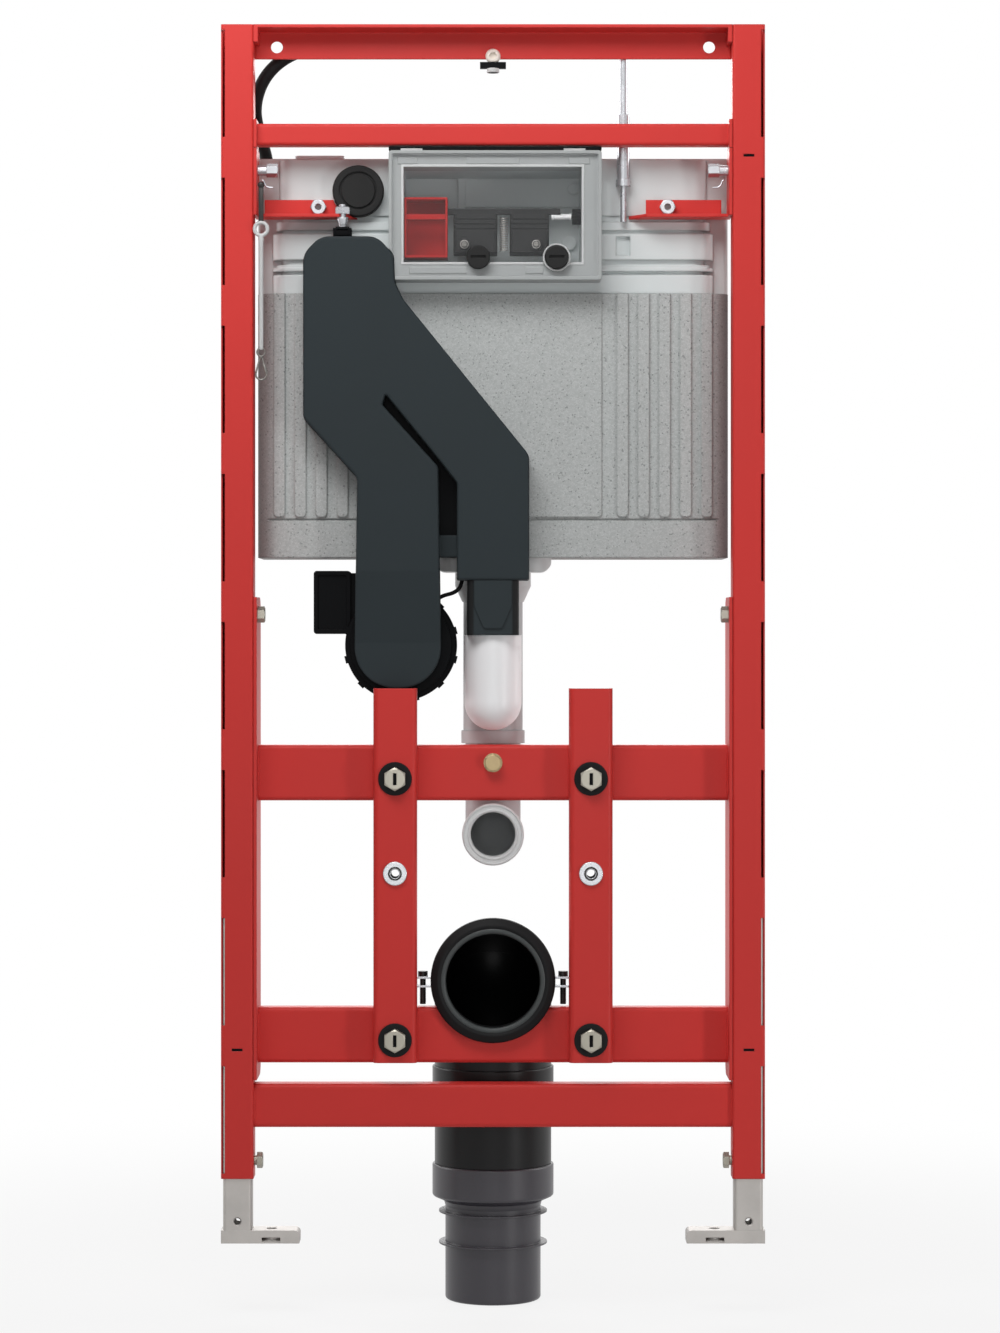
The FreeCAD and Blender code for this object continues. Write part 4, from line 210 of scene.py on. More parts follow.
# %% [markdown]
# The floor lies just under the drain spigot, which hangs below the feet. Its
# middle keeps the object's shadow, and it fades to plain white further out,
# so no horizon shows.
# %% Lay the floor
FLOOR_GAP = 0.0005
FLOOR_RADIUS = 7.0
FLOOR_BACK = 0.05
FADE_START = 0.5
FADE_END = 1.5
SHADOW_SHARE = 0.84
PAPER_GREY = (0.6, 0.6, 0.6, 1)
CLOUD_LOW = 0.3
CLOUD_HIGH = 0.7


def ranged(tree, value, low, high, from_low=CLOUD_LOW, from_high=CLOUD_HIGH, shape="LINEAR"):
    """Spreads a value over a new range; the old one is where most of a noise lies."""
    return new_node(tree, "ShaderNodeMapRange",
                    {"Value": value, "From Min": from_low, "From Max": from_high,
                     "To Min": low, "To Max": high}, interpolation_type=shape).outputs["Result"]


floor_height = cad_low.z - FLOOR_GAP
bpy.ops.mesh.primitive_circle_add(vertices=96, radius=FLOOR_RADIUS, fill_type="NGON",
                                  location=(MIDDLE, FLOOR_BACK, floor_height))
floor = bpy.context.object
floor.name = "studio_floor"
paper = bpy.data.materials.new("pale_floor")
paper.use_nodes = True
tree = paper.node_tree
tree.nodes.clear()
matt = new_node(tree, "ShaderNodeBsdfDiffuse", {"Color": PAPER_GREY})
glow = new_node(tree, "ShaderNodeEmission")
spot = new_node(tree, "ShaderNodeTexCoord").outputs["Object"]
distance = new_node(tree, "ShaderNodeVectorMath", {0: spot}, operation="LENGTH").outputs["Value"]
fade = ranged(tree, distance, SHADOW_SHARE, 1.0, FADE_START, FADE_END, "SMOOTHSTEP")
share = math_node(tree, "MULTIPLY", fade, seen_rays(tree))
blend = new_node(tree, "ShaderNodeMixShader", {0: share, 1: matt.outputs[0], 2: glow.outputs[0]})
new_node(tree, "ShaderNodeOutputMaterial", {0: blend.outputs[0]})
floor.data.materials.append(paper)
deselect()
print("floor at", round(floor_height, 4))

# %% [markdown]
# ## Finishes
# Every finish starts from the same effects, so each is a node group that is
# built once. The first rounds the edges in the shading and says where they
# are, because a pressed or painted edge always catches the light; the finishes
# paint that light into their colour, as a painted highlight along the edges.
# The second is a fine grain with a broad cloudiness over it.
# %% Build the edge and grain groups
def new_group(name, inputs, outputs):
    """Makes a node group with named sockets; returns it with its two ends."""
    group = bpy.data.node_groups.new(name, "ShaderNodeTree")
    for label, value in inputs.items():
        kind = "NodeSocketVector" if value is None else "NodeSocketFloat"
        socket = group.interface.new_socket(name=label, in_out="INPUT", socket_type=kind)
        if value is not None:
            socket.default_value = value
    for label, kind in outputs.items():
        group.interface.new_socket(name=label, in_out="OUTPUT", socket_type="NodeSocket" + kind)
    start, end = (group.nodes.new("NodeGroup" + kind) for kind in ("Input", "Output"))
    return group, start.outputs, end


edge_group, given, result = new_group("soft edges", {"Radius": 0.001, "Gain": 4.0},
                                      {"Edge": "Float", "Normal": "Vector"})
rounded = new_node(edge_group, "ShaderNodeBevel", {"Radius": given["Radius"]}, samples=4)
flat = new_node(edge_group, "ShaderNodeNewGeometry")
match = new_node(edge_group, "ShaderNodeVectorMath",
                 {0: rounded.outputs["Normal"], 1: flat.outputs["Normal"]},
                 operation="DOT_PRODUCT")
turned_away = math_node(edge_group, "SUBTRACT", 1.0, match.outputs["Value"])
strength = math_node(edge_group, "MULTIPLY", turned_away, given["Gain"])
feed(edge_group, result, {"Edge": math_node(edge_group, "MINIMUM", strength, 1.0),
                          "Normal": rounded.outputs["Normal"]})

grain_group, given, result = new_group("grain", {"Vector": None, "Fine": 900.0, "Broad": 6.0},
                                       {"Grain": "Float", "Cloud": "Float"})
for label, output, detail in (("Fine", "Grain", 3.0), ("Broad", "Cloud", 4.0)):
    noise = new_node(grain_group, "ShaderNodeTexNoise",
                     {"Vector": given["Vector"], "Scale": given[label], "Detail": detail})
    feed(grain_group, result, {output: noise.outputs["Fac"]})
print("effect groups", len(bpy.data.node_groups))

# %% [markdown]
# Two more effects. Pressed beads are the speckle of foam. A side mask says how
# far out from the middle a point lies between two widths, and only near the
# front. With it a painted shade darkens the tank and its jacket behind the
# columns, where the columns' shade falls.
# %% Build the bead and side groups
MASK_NEAR = FRONT + 46 * MM
MASK_FAR = FRONT + 62 * MM
bead_group, given, result = new_group("pressed beads", {"Vector": None, "Scale": 260.0},
                                      {"Tone": "Color", "Seam": "Float"})
for feature, output, source in (("F1", "Tone", "Color"), ("DISTANCE_TO_EDGE", "Seam", "Distance")):
    cells = new_node(bead_group, "ShaderNodeTexVoronoi",
                     {"Vector": given["Vector"], "Scale": given["Scale"]}, feature=feature)
    feed(bead_group, result, {output: cells.outputs[source]})

side_shade_group, given, result = new_group(
    "side", {"Vector": None, "Inner": 0.19, "Outer": 0.22, "Most": 1.0}, {"Mask": "Float"})
split = new_node(side_shade_group, "ShaderNodeSeparateXYZ", {0: given["Vector"]}).outputs
beside = math_node(side_shade_group, "ABSOLUTE", math_node(side_shade_group, "SUBTRACT", split["X"], MIDDLE))
spread = ranged(side_shade_group, beside, 0.0, given["Most"], given["Inner"], given["Outer"],
                "SMOOTHSTEP")
near = ranged(side_shade_group, split["Y"], 1.0, 0.0, MASK_NEAR, MASK_FAR, "SMOOTHSTEP")
feed(side_shade_group, result, {"Mask": math_node(side_shade_group, "MULTIPLY", spread, near)})
print("effect groups", [group.name for group in bpy.data.node_groups])

# %% [markdown]
# A finish is one Principled shader. The grain moves its colour and roughness a
# little, a bump carries the grain as texture, and the rounded normal comes
# underneath. Along the edges the colour is mixed with some white, a painted
# highlight. The numbers that stay the same all over are set on the shader
# itself. Colours are written as on a screen and turned into light values. A
# finish is laid at once on the parts of the construction that wear it.
# %% Write the finish maker
ROUGH_SWING = 0.06
BUMP_DEPTH = 0.00005


def screen(*colour):
    """A colour given as on a screen, 0 to 255, as light values."""
    parts = [value / 255 for value in colour]
    light = [part / 12.92 if part <= 0.04045 else ((part + 0.055) / 1.055) ** 2.4 for part in parts]
    return (*light, 1.0)


def scaled(colour, factor):
    """A colour made darker (below 1) or lighter (above 1)."""
    return (*(part * factor for part in colour[:3]), 1.0)


def whitened(colour, amount):
    """A colour mixed with some white."""
    return (*(part + (1 - part) * amount for part in colour[:3]), 1.0)


def mix_colour(tree, factor, first, second):
    """Mixes two colours; each input is a socket or a value."""
    return new_node(tree, "ShaderNodeMix", {0: factor, 6: first, 7: second},
                    data_type="RGBA").outputs[2]


def effect(tree, group, **inputs):
    """Puts an effect group into a material; returns what it gives."""
    return new_node(tree, "ShaderNodeGroup", inputs, node_tree=group).outputs


def make_finish(name, colour, rough, *parts, metal=0.0, fine=900.0, broad=6.0, tone=0.06,
                bump=0.15, edge=0.001, painted_edge_highlight=0.25, specular=0.35):
    """A material with grain, cloudy tone and a painted highlight on its edges, laid on the named
    parts.
    """
    material = bpy.data.materials.new(name)
    material.use_nodes = True
    tree = material.node_tree
    colour = screen(*colour)
    spot = new_node(tree, "ShaderNodeTexCoord", name="place").outputs["Object"]
    grain = effect(tree, grain_group, Vector=spot, Fine=fine, Broad=broad)
    edges = effect(tree, edge_group, Radius=edge)
    cloudy = mix_colour(tree, ranged(tree, grain["Cloud"], 0.0, 1.0),
                        scaled(colour, 1 - tone), scaled(colour, 1 + tone))
    # Painted highlight: the base colour turns towards white along the edges.
    edge_highlight_share = math_node(tree, "MULTIPLY", edges["Edge"], painted_edge_highlight)
    texture = new_node(tree, "ShaderNodeBump", {
        "Strength": bump, "Distance": BUMP_DEPTH, "Height": grain["Grain"],
        "Normal": edges["Normal"]})
    feed(tree, tree.nodes["Principled BSDF"], {
        "Base Color": mix_colour(tree, edge_highlight_share, cloudy, whitened(colour, painted_edge_highlight / 2)),
        "Roughness": ranged(tree, grain["Cloud"], rough - ROUGH_SWING, rough + ROUGH_SWING),
        "Normal": texture.outputs["Normal"], "Metallic": metal, "Specular IOR Level": specular})
    for part in parts:
        NODES[part].data.materials.clear()
        NODES[part].data.materials.append(material)
    return material


def lay_over(material, share, *colour):
    """Mixes a second colour over a finish by a share, which is a socket."""
    tree = material.node_tree
    base = tree.nodes["Principled BSDF"].inputs["Base Color"]
    tree.links.new(mix_colour(tree, share, base.links[0].from_socket, screen(*colour)), base)


def paint_side_shade(material, *colour, **widths):
    """Lays a painted shade, a dark colour, over a finish where the side mask is high."""
    tree = material.node_tree
    spot = tree.nodes["place"].outputs["Object"]
    lay_over(material, effect(tree, side_shade_group, Vector=spot, **widths)["Mask"], *colour)


print("finish maker ready")

# %% [markdown]
# ### Red powder coat
# The frame is sprayed with powder and baked, which leaves a smooth, slightly
# rippled skin with a soft gloss. Its edges are painted a little lighter, a
# painted highlight where they catch the light. The colour is deep and warm, so
# green and blue stay low and the gloss is weak, or the studio's white would
# make it pink.
# %% Coat the steel frame
red_coat = make_finish(
    "red_powder_coat", (206, 54, 50), 0.45, "column_left", "column_right", "side_plate_left",
    "side_plate_right", "mounting_bar_left", "mounting_bar_right", "bracket_left", "bracket_right",
    "top_rail", "upper_rail", "mounting_rail_upper", "mounting_rail_lower", "bottom_rail",
    fine=1400, broad=4, tone=0.04, bump=0.12, edge=0.0016, painted_edge_highlight=0.22, specular=0.22)
print("coated in red")

# %% [markdown]
# ### Plated and plain steel
# Legs and shoes are galvanised: dull, slightly mottled and warm grey. Bolts are
# zinc plated and brighter. One bolt has a yellow passivated coat, and the
# screws of the drain's strap are dark.
# %% Plate the steel
galvanised = make_finish(
    "galvanised_steel", (178, 174, 170), 0.5, "leg_left", "leg_right", "shoe_left", "shoe_right",
    metal=0.55, fine=700, broad=40, tone=0.08, bump=0.1, edge=0.0008, painted_edge_highlight=0.3)
make_finish(
    "zinc_plate", (152, 148, 137), 0.36, "bar_bolts", "side_plate_bolts", "leg_clamp_screws",
    "snap_hook", metal=0.75, fine=1200, broad=60, tone=0.08, edge=0.0006, painted_edge_highlight=0.4)
bright_plate = make_finish(
    "bright_plate", (186, 188, 192), 0.26, "bracket_bolts", "bracket_nuts", "duct_hanger",
    "tie_rod", "drain_strap", "stud_sleeves", metal=0.7, fine=1200, broad=60, tone=0.04,
    edge=0.0006, painted_edge_highlight=0.2)
yellow_plate = make_finish(
    "yellow_plate", (150, 133, 100), 0.36, "rail_bolt", metal=0.75, fine=1200, broad=80, tone=0.12,
    edge=0.0006, painted_edge_highlight=0.4)
dark_steel = make_finish(
    "dark_steel", (46, 44, 43), 0.4, "strap_screws", metal=0.6, fine=1200, broad=80, tone=0.1,
    edge=0.0005)
hook_steel = make_finish(
    "hook_steel", (118, 116, 112), 0.4, metal=0.6, fine=1200, broad=80, tone=0.1, edge=0.0004,
    painted_edge_highlight=0.3)
print("plated")

# %% [markdown]
# ### Moulded plastics and rubber
# Each moulding has its own tone: the tank is pale grey, the duct is nearly
# black with a green cast, the adapter has a violet cast, and the cap is white.
# The duct's connector is darker at its sides, a painted shade. Dark plastics
# get little gloss, since even a weak mirror of a white studio would turn them
# grey.
# %% Colour the mouldings
tank_grey = make_finish(
    "tank_plastic", (208, 214, 214), 0.5, "cistern_tank", tone=0.03, edge=0.002, painted_edge_highlight=0.35)
make_finish(
    "hatch_plastic", (160, 163, 163), 0.4, "inspection_frame", tone=0.04, edge=0.0012,
    painted_edge_highlight=0.6)
make_finish(
    "cream_plastic", (232, 224, 214), 0.4, "top_bolt", tone=0.03, edge=0.0008, painted_edge_highlight=0.3)
pale_grey = make_finish(
    "pale_plastic", (198, 199, 199), 0.42, "outlet_nut", "hanging_rod", tone=0.03, painted_edge_highlight=0.4)
make_finish("pipe_plastic", (182, 184, 185), 0.45, "flush_pipe", tone=0.04)
duct_dark = make_finish(
    "duct_plastic", (40, 47, 50), 0.55, "extraction_duct", tone=0.08, fine=500, broad=10, bump=0.2,
    edge=0.0025, painted_edge_highlight=0.1, specular=0.15)
connector_dark = make_finish(
    "connector_plastic", (40, 47, 50), 0.5, "duct_connector", tone=0.08, edge=0.0015,
    painted_edge_highlight=0.1, specular=0.15)
# Painted shade: the connector grows darker towards its sides.
paint_side_shade(connector_dark, 12, 13, 14, Inner=0.0165, Outer=0.019)
black_moulding = make_finish(
    "black_moulding", (10, 11, 13), 0.5, "fan_housing", "power_box", "top_clip", "inlet_elbow",
    "adjusting_wheel", "hatch_seal", tone=0.1, painted_edge_highlight=0.05, specular=0.06)
make_finish(
    "drain_plastic", (15, 15, 16), 0.34, "drain_bend", "drain_knee", "drain_pipe", tone=0.08,
    painted_edge_highlight=0.1, specular=0.2)
make_finish("adapter_plastic", (54, 52, 58), 0.34, "drain_adapter", painted_edge_highlight=0.1, specular=0.5)
cap_white = make_finish("white_cap", (246, 246, 247), 0.35, "filter_cap", tone=0.02)
make_finish("red_plastic", (176, 30, 27), 0.6, "flush_tray", painted_edge_highlight=0.2, specular=0.08)
make_finish(
    "block_plastic", (34, 34, 34), 0.45, "valve_blocks", "lever_bar", "cover_knobs",
    "blanking_plug", tone=0.1, painted_edge_highlight=0.2, specular=0.12)
print("mouldings coloured")

# %% [markdown]
# Rubber is matt and black, apart from the pale seal of the flush pipe. The
# drain's lip is a lighter grey, a painted highlight.
# %% Colour the rubber
rubber = make_finish(
    "black_rubber", (18, 18, 19), 0.6, "bar_washers", "drain_seal", "fan_cable", "supply_hose",
    tone=0.08, painted_edge_highlight=0.1, specular=0.15)
pale_rubber = make_finish(
    "pale_rubber", (214, 214, 214), 0.5, "flush_seal", tone=0.03, edge=0.0008, painted_edge_highlight=0.2)
lip_rubber_painted_highlight = make_finish(
    "lip_rubber_painted_highlight", (62, 66, 66), 0.42, edge=0.0008, painted_edge_highlight=0.2, specular=0.3)
print("rubber coloured")

# %% [markdown]
# ### Pressed foam
# The lower cistern sits in a jacket of pressed foam beads. Each bead keeps its
# own shade of grey, fine dark seams run between them, and a few beads are
# nearly black, like salt and pepper.
# %% Speckle the jacket
BEAD_SCALE = 720.0
SIDE_SHADE = (62, 58, 57)
foam = make_finish(
    "pressed_foam", (192, 195, 194), 0.8, "cistern_jacket", tone=0.03, edge=0.002, painted_edge_highlight=0.1,
    specular=0.15)
tree = foam.node_tree
beads = effect(tree, bead_group, Vector=tree.nodes["place"].outputs["Object"], Scale=BEAD_SCALE)
parted = new_node(tree, "ShaderNodeSeparateColor", {0: beads["Tone"]}).outputs
lay_over(foam, ranged(tree, parted["Red"], 0.0, 0.5, 0.0, 1.0), 158, 161, 160)
lay_over(foam, ranged(tree, parted["Green"], 0.0, 0.6, 0.94, 0.98), 112, 115, 114)
lay_over(foam, ranged(tree, beads["Seam"], 0.3, 0.0, 0.0, 0.12), 130, 133, 132)
# Painted shade: the jacket and the tank grow darker towards the columns, where the columns' shade
# falls.
paint_side_shade(foam, *SIDE_SHADE, Inner=0.196, Outer=0.222, Most=0.85)
paint_side_shade(tank_grey, *SIDE_SHADE, Inner=0.196, Outer=0.224, Most=0.75)
print("jacket speckled")

# %% [markdown]
# ### Clear cover
# The splash cover is thin clear plastic. Thin sheet hardly bends the light, so
# instead of thick glass it is a faint pale film: mostly see-through on its
# flat, and denser along its edges, where one looks into more plastic. The
# edge effect drives that density too.
# %% Make the cover clear
FLAT_ALPHA = 0.03
EDGE_ALPHA = 0.6
clear = make_finish(
    "clear_plastic", (205, 208, 210), 0.15, "splash_cover", tone=0.02, painted_edge_highlight=0.5, specular=0.4)
tree = clear.node_tree
rim = effect(tree, edge_group, Radius=0.0015, Gain=6.0)
density = ranged(tree, rim["Edge"], FLAT_ALPHA, EDGE_ALPHA, 0.0, 1.0)
feed(tree, tree.nodes["Principled BSDF"], {"Alpha": density})
print("cover clear")

# %% [markdown]
# ## Tools of the workshop
# The small pieces that follow are modelled by hand: a primitive at its place,
# shaped in edit mode, then finished. A few helpers do what a hand does again
# and again: open a mesh, choose faces or edges by where they are, pull them,
# close the mesh, and apply a modifier.
# %% Make the workshop helpers
FACING = 0.9


def activate(piece):
    deselect()
    piece.select_set(True)
    bpy.context.view_layer.objects.active = piece


def open_mesh(piece):
    """Enters edit mode with the whole mesh selected."""
    activate(piece)
    bpy.ops.object.mode_set(mode="EDIT")
    bpy.ops.mesh.select_all(action="SELECT")


def choose(piece, kind, test):
    """Selects faces, edges or vertices by their middle and direction."""
    bpy.ops.mesh.select_mode(type=kind)
    bpy.ops.mesh.select_all(action="DESELECT")
    mesh = bmesh.from_edit_mesh(piece.data)
    for item in {"FACE": mesh.faces, "EDGE": mesh.edges, "VERT": mesh.verts}[kind]:
        if kind == "EDGE":
            first, second = (vertex.co for vertex in item.verts)
            middle, way = (first + second) / 2, (second - first).normalized()
        else:
            middle = item.calc_center_median() if kind == "FACE" else item.co
            way = item.normal
        if test(middle, way):
            item.select_set(True)
    bmesh.update_edit_mesh(piece.data)


def choose_facing(piece, direction):
    """Selects the faces that look in a direction."""
    choose(piece, "FACE", lambda middle, way: way.dot(direction) > FACING)


def pull(move):
    """Extrudes what is chosen by a vector in millimetres."""
    bpy.ops.mesh.extrude_region_move(TRANSFORM_OT_translate={"value": move * MM})


def step(inset, move):
    """Insets the chosen face and pulls its inner part, in millimetres."""
    bpy.ops.mesh.inset(thickness=inset * MM)
    pull(move)


def close_mesh():
    bpy.ops.object.mode_set(mode="OBJECT")


def modify(piece, kind, **values):
    """Adds a modifier, sets it and applies it."""
    modifier = piece.modifiers.new(kind.lower(), kind)
    for name, value in values.items():
        setattr(modifier, name, value)
    activate(piece)
    bpy.ops.object.modifier_apply(modifier=modifier.name)


def soften(piece, width):
    """Bevels all sharp edges by a width in millimetres."""
    modify(piece, "BEVEL", width=width * MM, segments=2, limit_method="ANGLE")


print("workshop ready")

# %% [markdown]
# Most pieces begin as a block, as a stud that looks forward, or as an outline,
# which is a circle whose corners are moved to their places.
# %% Make the first forms
def named(name):
    """Names the primitive that was just added."""
    piece = bpy.context.object
    piece.name = name
    piece.data.name = name
    return piece


def block(name, size, place=ORIGIN):
    """A cube with a size in millimetres, at a point."""
    bpy.ops.mesh.primitive_cube_add(size=MM, location=place)
    piece = named(name)
    piece.scale = size
    bpy.ops.object.transform_apply(location=False, rotation=False, scale=True)
    return piece


def stud(name, corners, radius, length):
    """A cylinder that looks forward, in millimetres."""
    bpy.ops.mesh.primitive_cylinder_add(vertices=corners, radius=radius * MM, depth=length * MM,
                                        rotation=(math.radians(90), 0, 0))
    bpy.ops.object.transform_apply(location=False, rotation=True, scale=False)
    return named(name)


def outline(name, corners, fill="NOTHING"):
    """A closed outline through points, in metres."""
    bpy.ops.mesh.primitive_circle_add(vertices=len(corners), radius=MM, fill_type=fill)
    piece = named(name)
    for vertex, corner in zip(piece.data.vertices, corners):
        vertex.co = corner
    return piece


print("forms ready")

# %% [markdown]
# A finished piece has one clean mesh, with its place in the mesh itself and
# its object at the origin. Here its doubles are merged, its faces turned
# outward, its finish laid on, and it is told to ride with the frame. Repeats
# are copies, each with a mesh of its own, joined into one piece.
# %% Make the finishing helpers
SMOOTH_ANGLE = 40
DOUBLES = 0.002 * MM


def copies(piece, places):
    """The piece at its first place, and copies with their own meshes at the others."""
    made = [piece]
    for place in places[1:]:
        twin = piece.copy()
        twin.data = piece.data.copy()
        scene.collection.objects.link(twin)
        twin.location = place
        made.append(twin)
    piece.location = places[0]
    return made


def joined(name, pieces):
    """Joins pieces into the first of them."""
    activate(pieces[0])
    for piece in pieces:
        piece.select_set(True)
    bpy.ops.object.join()
    return named(name)


def merge():
    """Merges the doubled vertices of an open mesh."""
    bpy.ops.mesh.select_all(action="SELECT")
    bpy.ops.mesh.remove_doubles(threshold=DOUBLES)


def complete(piece, material, *stands_for):
    """Cleans a piece, sets its place into its mesh, and lays its finish on."""
    activate(piece)
    bpy.ops.object.transform_apply(location=True, rotation=True, scale=True)
    open_mesh(piece)
    merge()
    bpy.ops.mesh.normals_make_consistent(inside=False)
    close_mesh()
    bpy.ops.object.shade_smooth_by_angle(angle=math.radians(SMOOTH_ANGLE))
    piece.data.materials.clear()
    piece.data.materials.append(material)
    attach(piece, FRAME_BODY)
    if stands_for:
        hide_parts(*stands_for)
    deselect()
    print(piece.name, len(piece.data.polygons), "faces")


def repeat(piece, places, material):
    """Copies a piece to all its places and completes the copies as one piece."""
    complete(joined(piece.name, copies(piece, places)), material)


print("finishing ready")

# %% [markdown]
# ## Turned rings
# Lips, ferrules, washers and bosses are turned parts. A lathe does it: a ring
# of corner points, laid out as the part's section, is spun a full turn about
# its axis. The section is given as pairs of radius and place along the axis.
# %% Make the lathe
def lathe(name, section, centre, axis, steps):
    """Spins a closed section, in millimetres, about an axis through a centre."""
    outward = axis.orthogonal().normalized()
    piece = outline(name, [(outward * radius + axis * along) * MM for radius, along in section])
    open_mesh(piece)
    bpy.ops.mesh.spin(steps=steps, angle=math.tau, center=ORIGIN, axis=axis)
    merge()
    close_mesh()
    piece.location = centre
    return piece


print("lathe ready")

# %% [markdown]
# ### Lips of the two pipes
# The flush pipe's rubber has two pale sealing lips round its mouth, one behind
# the other, and the drain's rim carries a smooth lip round a black mouth, in a
# lighter grey that is a painted highlight. Both are turned rings, set just
# inside the rims that hold them.
# %% Turn the pipe lips
FLUSH_MOUTH = at(0, 14, 375)
FLUSH_LIPS = ((26.2, 28.2), (21.2, 23.6))
DRAIN_MOUTH = at(0, 15, 240)
DRAIN_LIP = ((43.4, 3.5), (43.2, 1.0), (44.0, -0.6), (45.6, -1.4), (47.4, -1.2), (48.8, -0.2),
             (49.2, 1.2), (49.2, 3.5))
rings = []
for inner, outer in FLUSH_LIPS:
    round_off = 0.3 * (outer - inner)
    section = ((inner, 0.6), (inner, -0.1), (inner + round_off, -0.9), (outer - round_off, -0.9),
               (outer, -0.1), (outer, 0.6))
    rings.append(lathe("flush_lip", section, FLUSH_MOUTH, BACKWARD, 64))
complete(joined("flush_lips", rings), pale_rubber)
complete(lathe("drain_lip", DRAIN_LIP, DRAIN_MOUTH, BACKWARD, 96), lip_rubber_painted_highlight)

# %% [markdown]
# ### Boss ring, sleeve mouths and collars
# The right knob sits in a pale boss ring on the cover. The two sleeves that
# take the bowl's studs have a dark chamfered mouth, the stub under the top
# clip wears a pale collar, and the tie rod's nut stands on a thin washer.
# %% Turn the small rings
SLEEVES = [at(side * 90, -3.5, 340) for side in SIDES]
BOSS = ((11.0, 0.0), (11.0, -2.2), (11.5, -2.8), (12.3, -2.8), (12.8, -2.2), (12.8, 0.0))
MOUTH = ((4.3, 3.0), (4.3, 0.4), (4.9, -0.15), (6.3, -0.15), (6.5, 0.1), (6.5, 3.0))
COLLAR = ((4.9, 0.0), (5.6, 0.0), (5.8, 0.3), (5.8, 3.6), (5.4, 4.0), (4.9, 4.0))
WASHER = ((3.8, 0.0), (6.2, 0.0), (6.4, 0.2), (6.4, 0.9), (6.2, 1.1), (3.8, 1.1))
complete(lathe("knob_ring", BOSS, at(58.6, 6.9, 906.4), BACKWARD, 64), pale_grey)
repeat(lathe("sleeve_mouths", MOUTH, ORIGIN, BACKWARD, 40), SLEEVES, dark_steel)
complete(lathe("stub_collar", COLLAR, at(0, 25, 1079), UPWARD, 40), pale_grey)
complete(lathe("tie_washer", WASHER, at(120.8, 34.6, 1100.5), UPWARD, 40), bright_plate)

# %% [markdown]
# ## Screw threads
# A thread is a small ridge that climbs as it goes round. The ridge's section
# is a triangle, which a Screw modifier turns and lifts by one pitch a turn.
# Its two ends are then closed. Threads go on the tie rod's end, the hanger's
# stud and the strap's screws, and inside the two stud sleeves, where the
# ridge points inward.
# %% Cut the threads
THREAD_STEPS = 20
THREAD_ROOT = 0.15
RIDGE_SHARE = 0.84


def climb(name, section, base, axis, pitch, turns):
    """Turns a closed section, in millimetres, upward round an axis, and closes its ends."""
    piece = outline(name, [Vector((reach, 0, up)) * MM for reach, up in section])
    modify(piece, "SCREW", axis="Z", angle=math.tau, screw_offset=pitch * MM, iterations=turns,
           steps=THREAD_STEPS, render_steps=THREAD_STEPS)
    open_mesh(piece)
    bpy.ops.mesh.fill_holes(sides=0)
    close_mesh()
    piece.location = base
    piece.rotation_euler = axis.to_track_quat("Z", "Y").to_euler()
    return piece


def thread(name, base, axis, radius, height, pitch, length):
    """A ridge on a rod (height above 0) or in a bore (height below 0), in millimetres."""
    root = radius - math.copysign(THREAD_ROOT, height)
    rise = RIDGE_SHARE * pitch
    section = ((root, 0.0), (radius + height, rise / 2), (root, rise))
    return climb(name, section, base, axis, pitch, max(1, int(length / pitch) - 1))


complete(thread("tie_rod_thread", at(120.8, 34.6, 1108.2), UPWARD, 3.5, 0.45, 1.25, 9.4),
         yellow_plate)
complete(thread("hanger_thread", at(-139, 23, 954.6), UPWARD, 3.2, 0.4, 1.0, 2.4), bright_plate)
repeat(thread("sleeve_threads", ORIGIN, BACKWARD, 4.25, -0.4, 1.5, 25),
       [place + BACKWARD * 0.5 * MM for place in SLEEVES], dark_steel)
repeat(thread("strap_screw_threads", ORIGIN, UPWARD, 2.7, 0.35, 0.9, 15),
       [at(side * 65, 32.5, 218) for side in SIDES], dark_steel)

# %% [markdown]
# ## Weld beads
# Rails are welded to the side plates and columns, and the side plates are
# stitched to the columns behind. Under the paint a weld is a row of small
# overlapping ripples in the corner. One bead is a thin cylinder cut into
# rings, with every other ring drawn in.
# %% Lay the weld beads
BEAD_RADIUS = 1.5
RIPPLE = 1.5
RIPPLE_DRAWN = (0.8, 0.8, 1.0)
ENDS_DRAWN = (0.5, 0.5, 1.0)
END_REACH = 0.1


def weld_beads(length, places):
    """Upright rippled beads of a length, in millimetres, one at each place."""
    bpy.ops.mesh.primitive_cylinder_add(vertices=12, radius=BEAD_RADIUS * MM, depth=length * MM)
    piece = named("weld_bead")
    open_mesh(piece)
    choose(piece, "EDGE", lambda middle, way: abs(way.z) > FACING)
    cuts = 2 * int(length / RIPPLE / 2) + 1
    bpy.ops.mesh.subdivide(number_cuts=cuts)
    pitch = length / (cuts + 1)
    choose(piece, "VERT",
           lambda middle, way: round(middle.z / MM / pitch - (cuts + 1) / 2) % 2 == 1)
    bpy.ops.transform.resize(value=RIPPLE_DRAWN, center_override=ORIGIN)
    choose(piece, "VERT", lambda middle, way: abs(middle.z) > (length / 2 - END_REACH) * MM)
    bpy.ops.transform.resize(value=ENDS_DRAWN, center_override=ORIGIN)
    close_mesh()
    return copies(piece, places)


beads = weld_beads(42, [at(side * 217, depth, height) for side in SIDES
                        for depth in (24, 44) for height in (431.7, 189.2)])
beads += weld_beads(30, [at(side * 220, depth, 126) for side in SIDES for depth in (6, 30)])
beads += weld_beads(26, [at(side * 220, 30, height) for side in SIDES
                         for height in (185, 300, 440, 560)])
complete(joined("weld_beads", beads), red_coat)

# %% [markdown]
# ## Bent wire
# Hooks, rings and clips are bent from round wire. The wire's end ring is
# extruded along each straight run and spun round each bend, as a bending tool
# would do it, and the two ends are closed. A run is a vector in millimetres.
# A bend is a centre, an axis and an angle. The spin operator turns the other
# way round its axis than a rotation does, so its angle is negative.
# %% Make the wire bender
BEND_STEP = 10


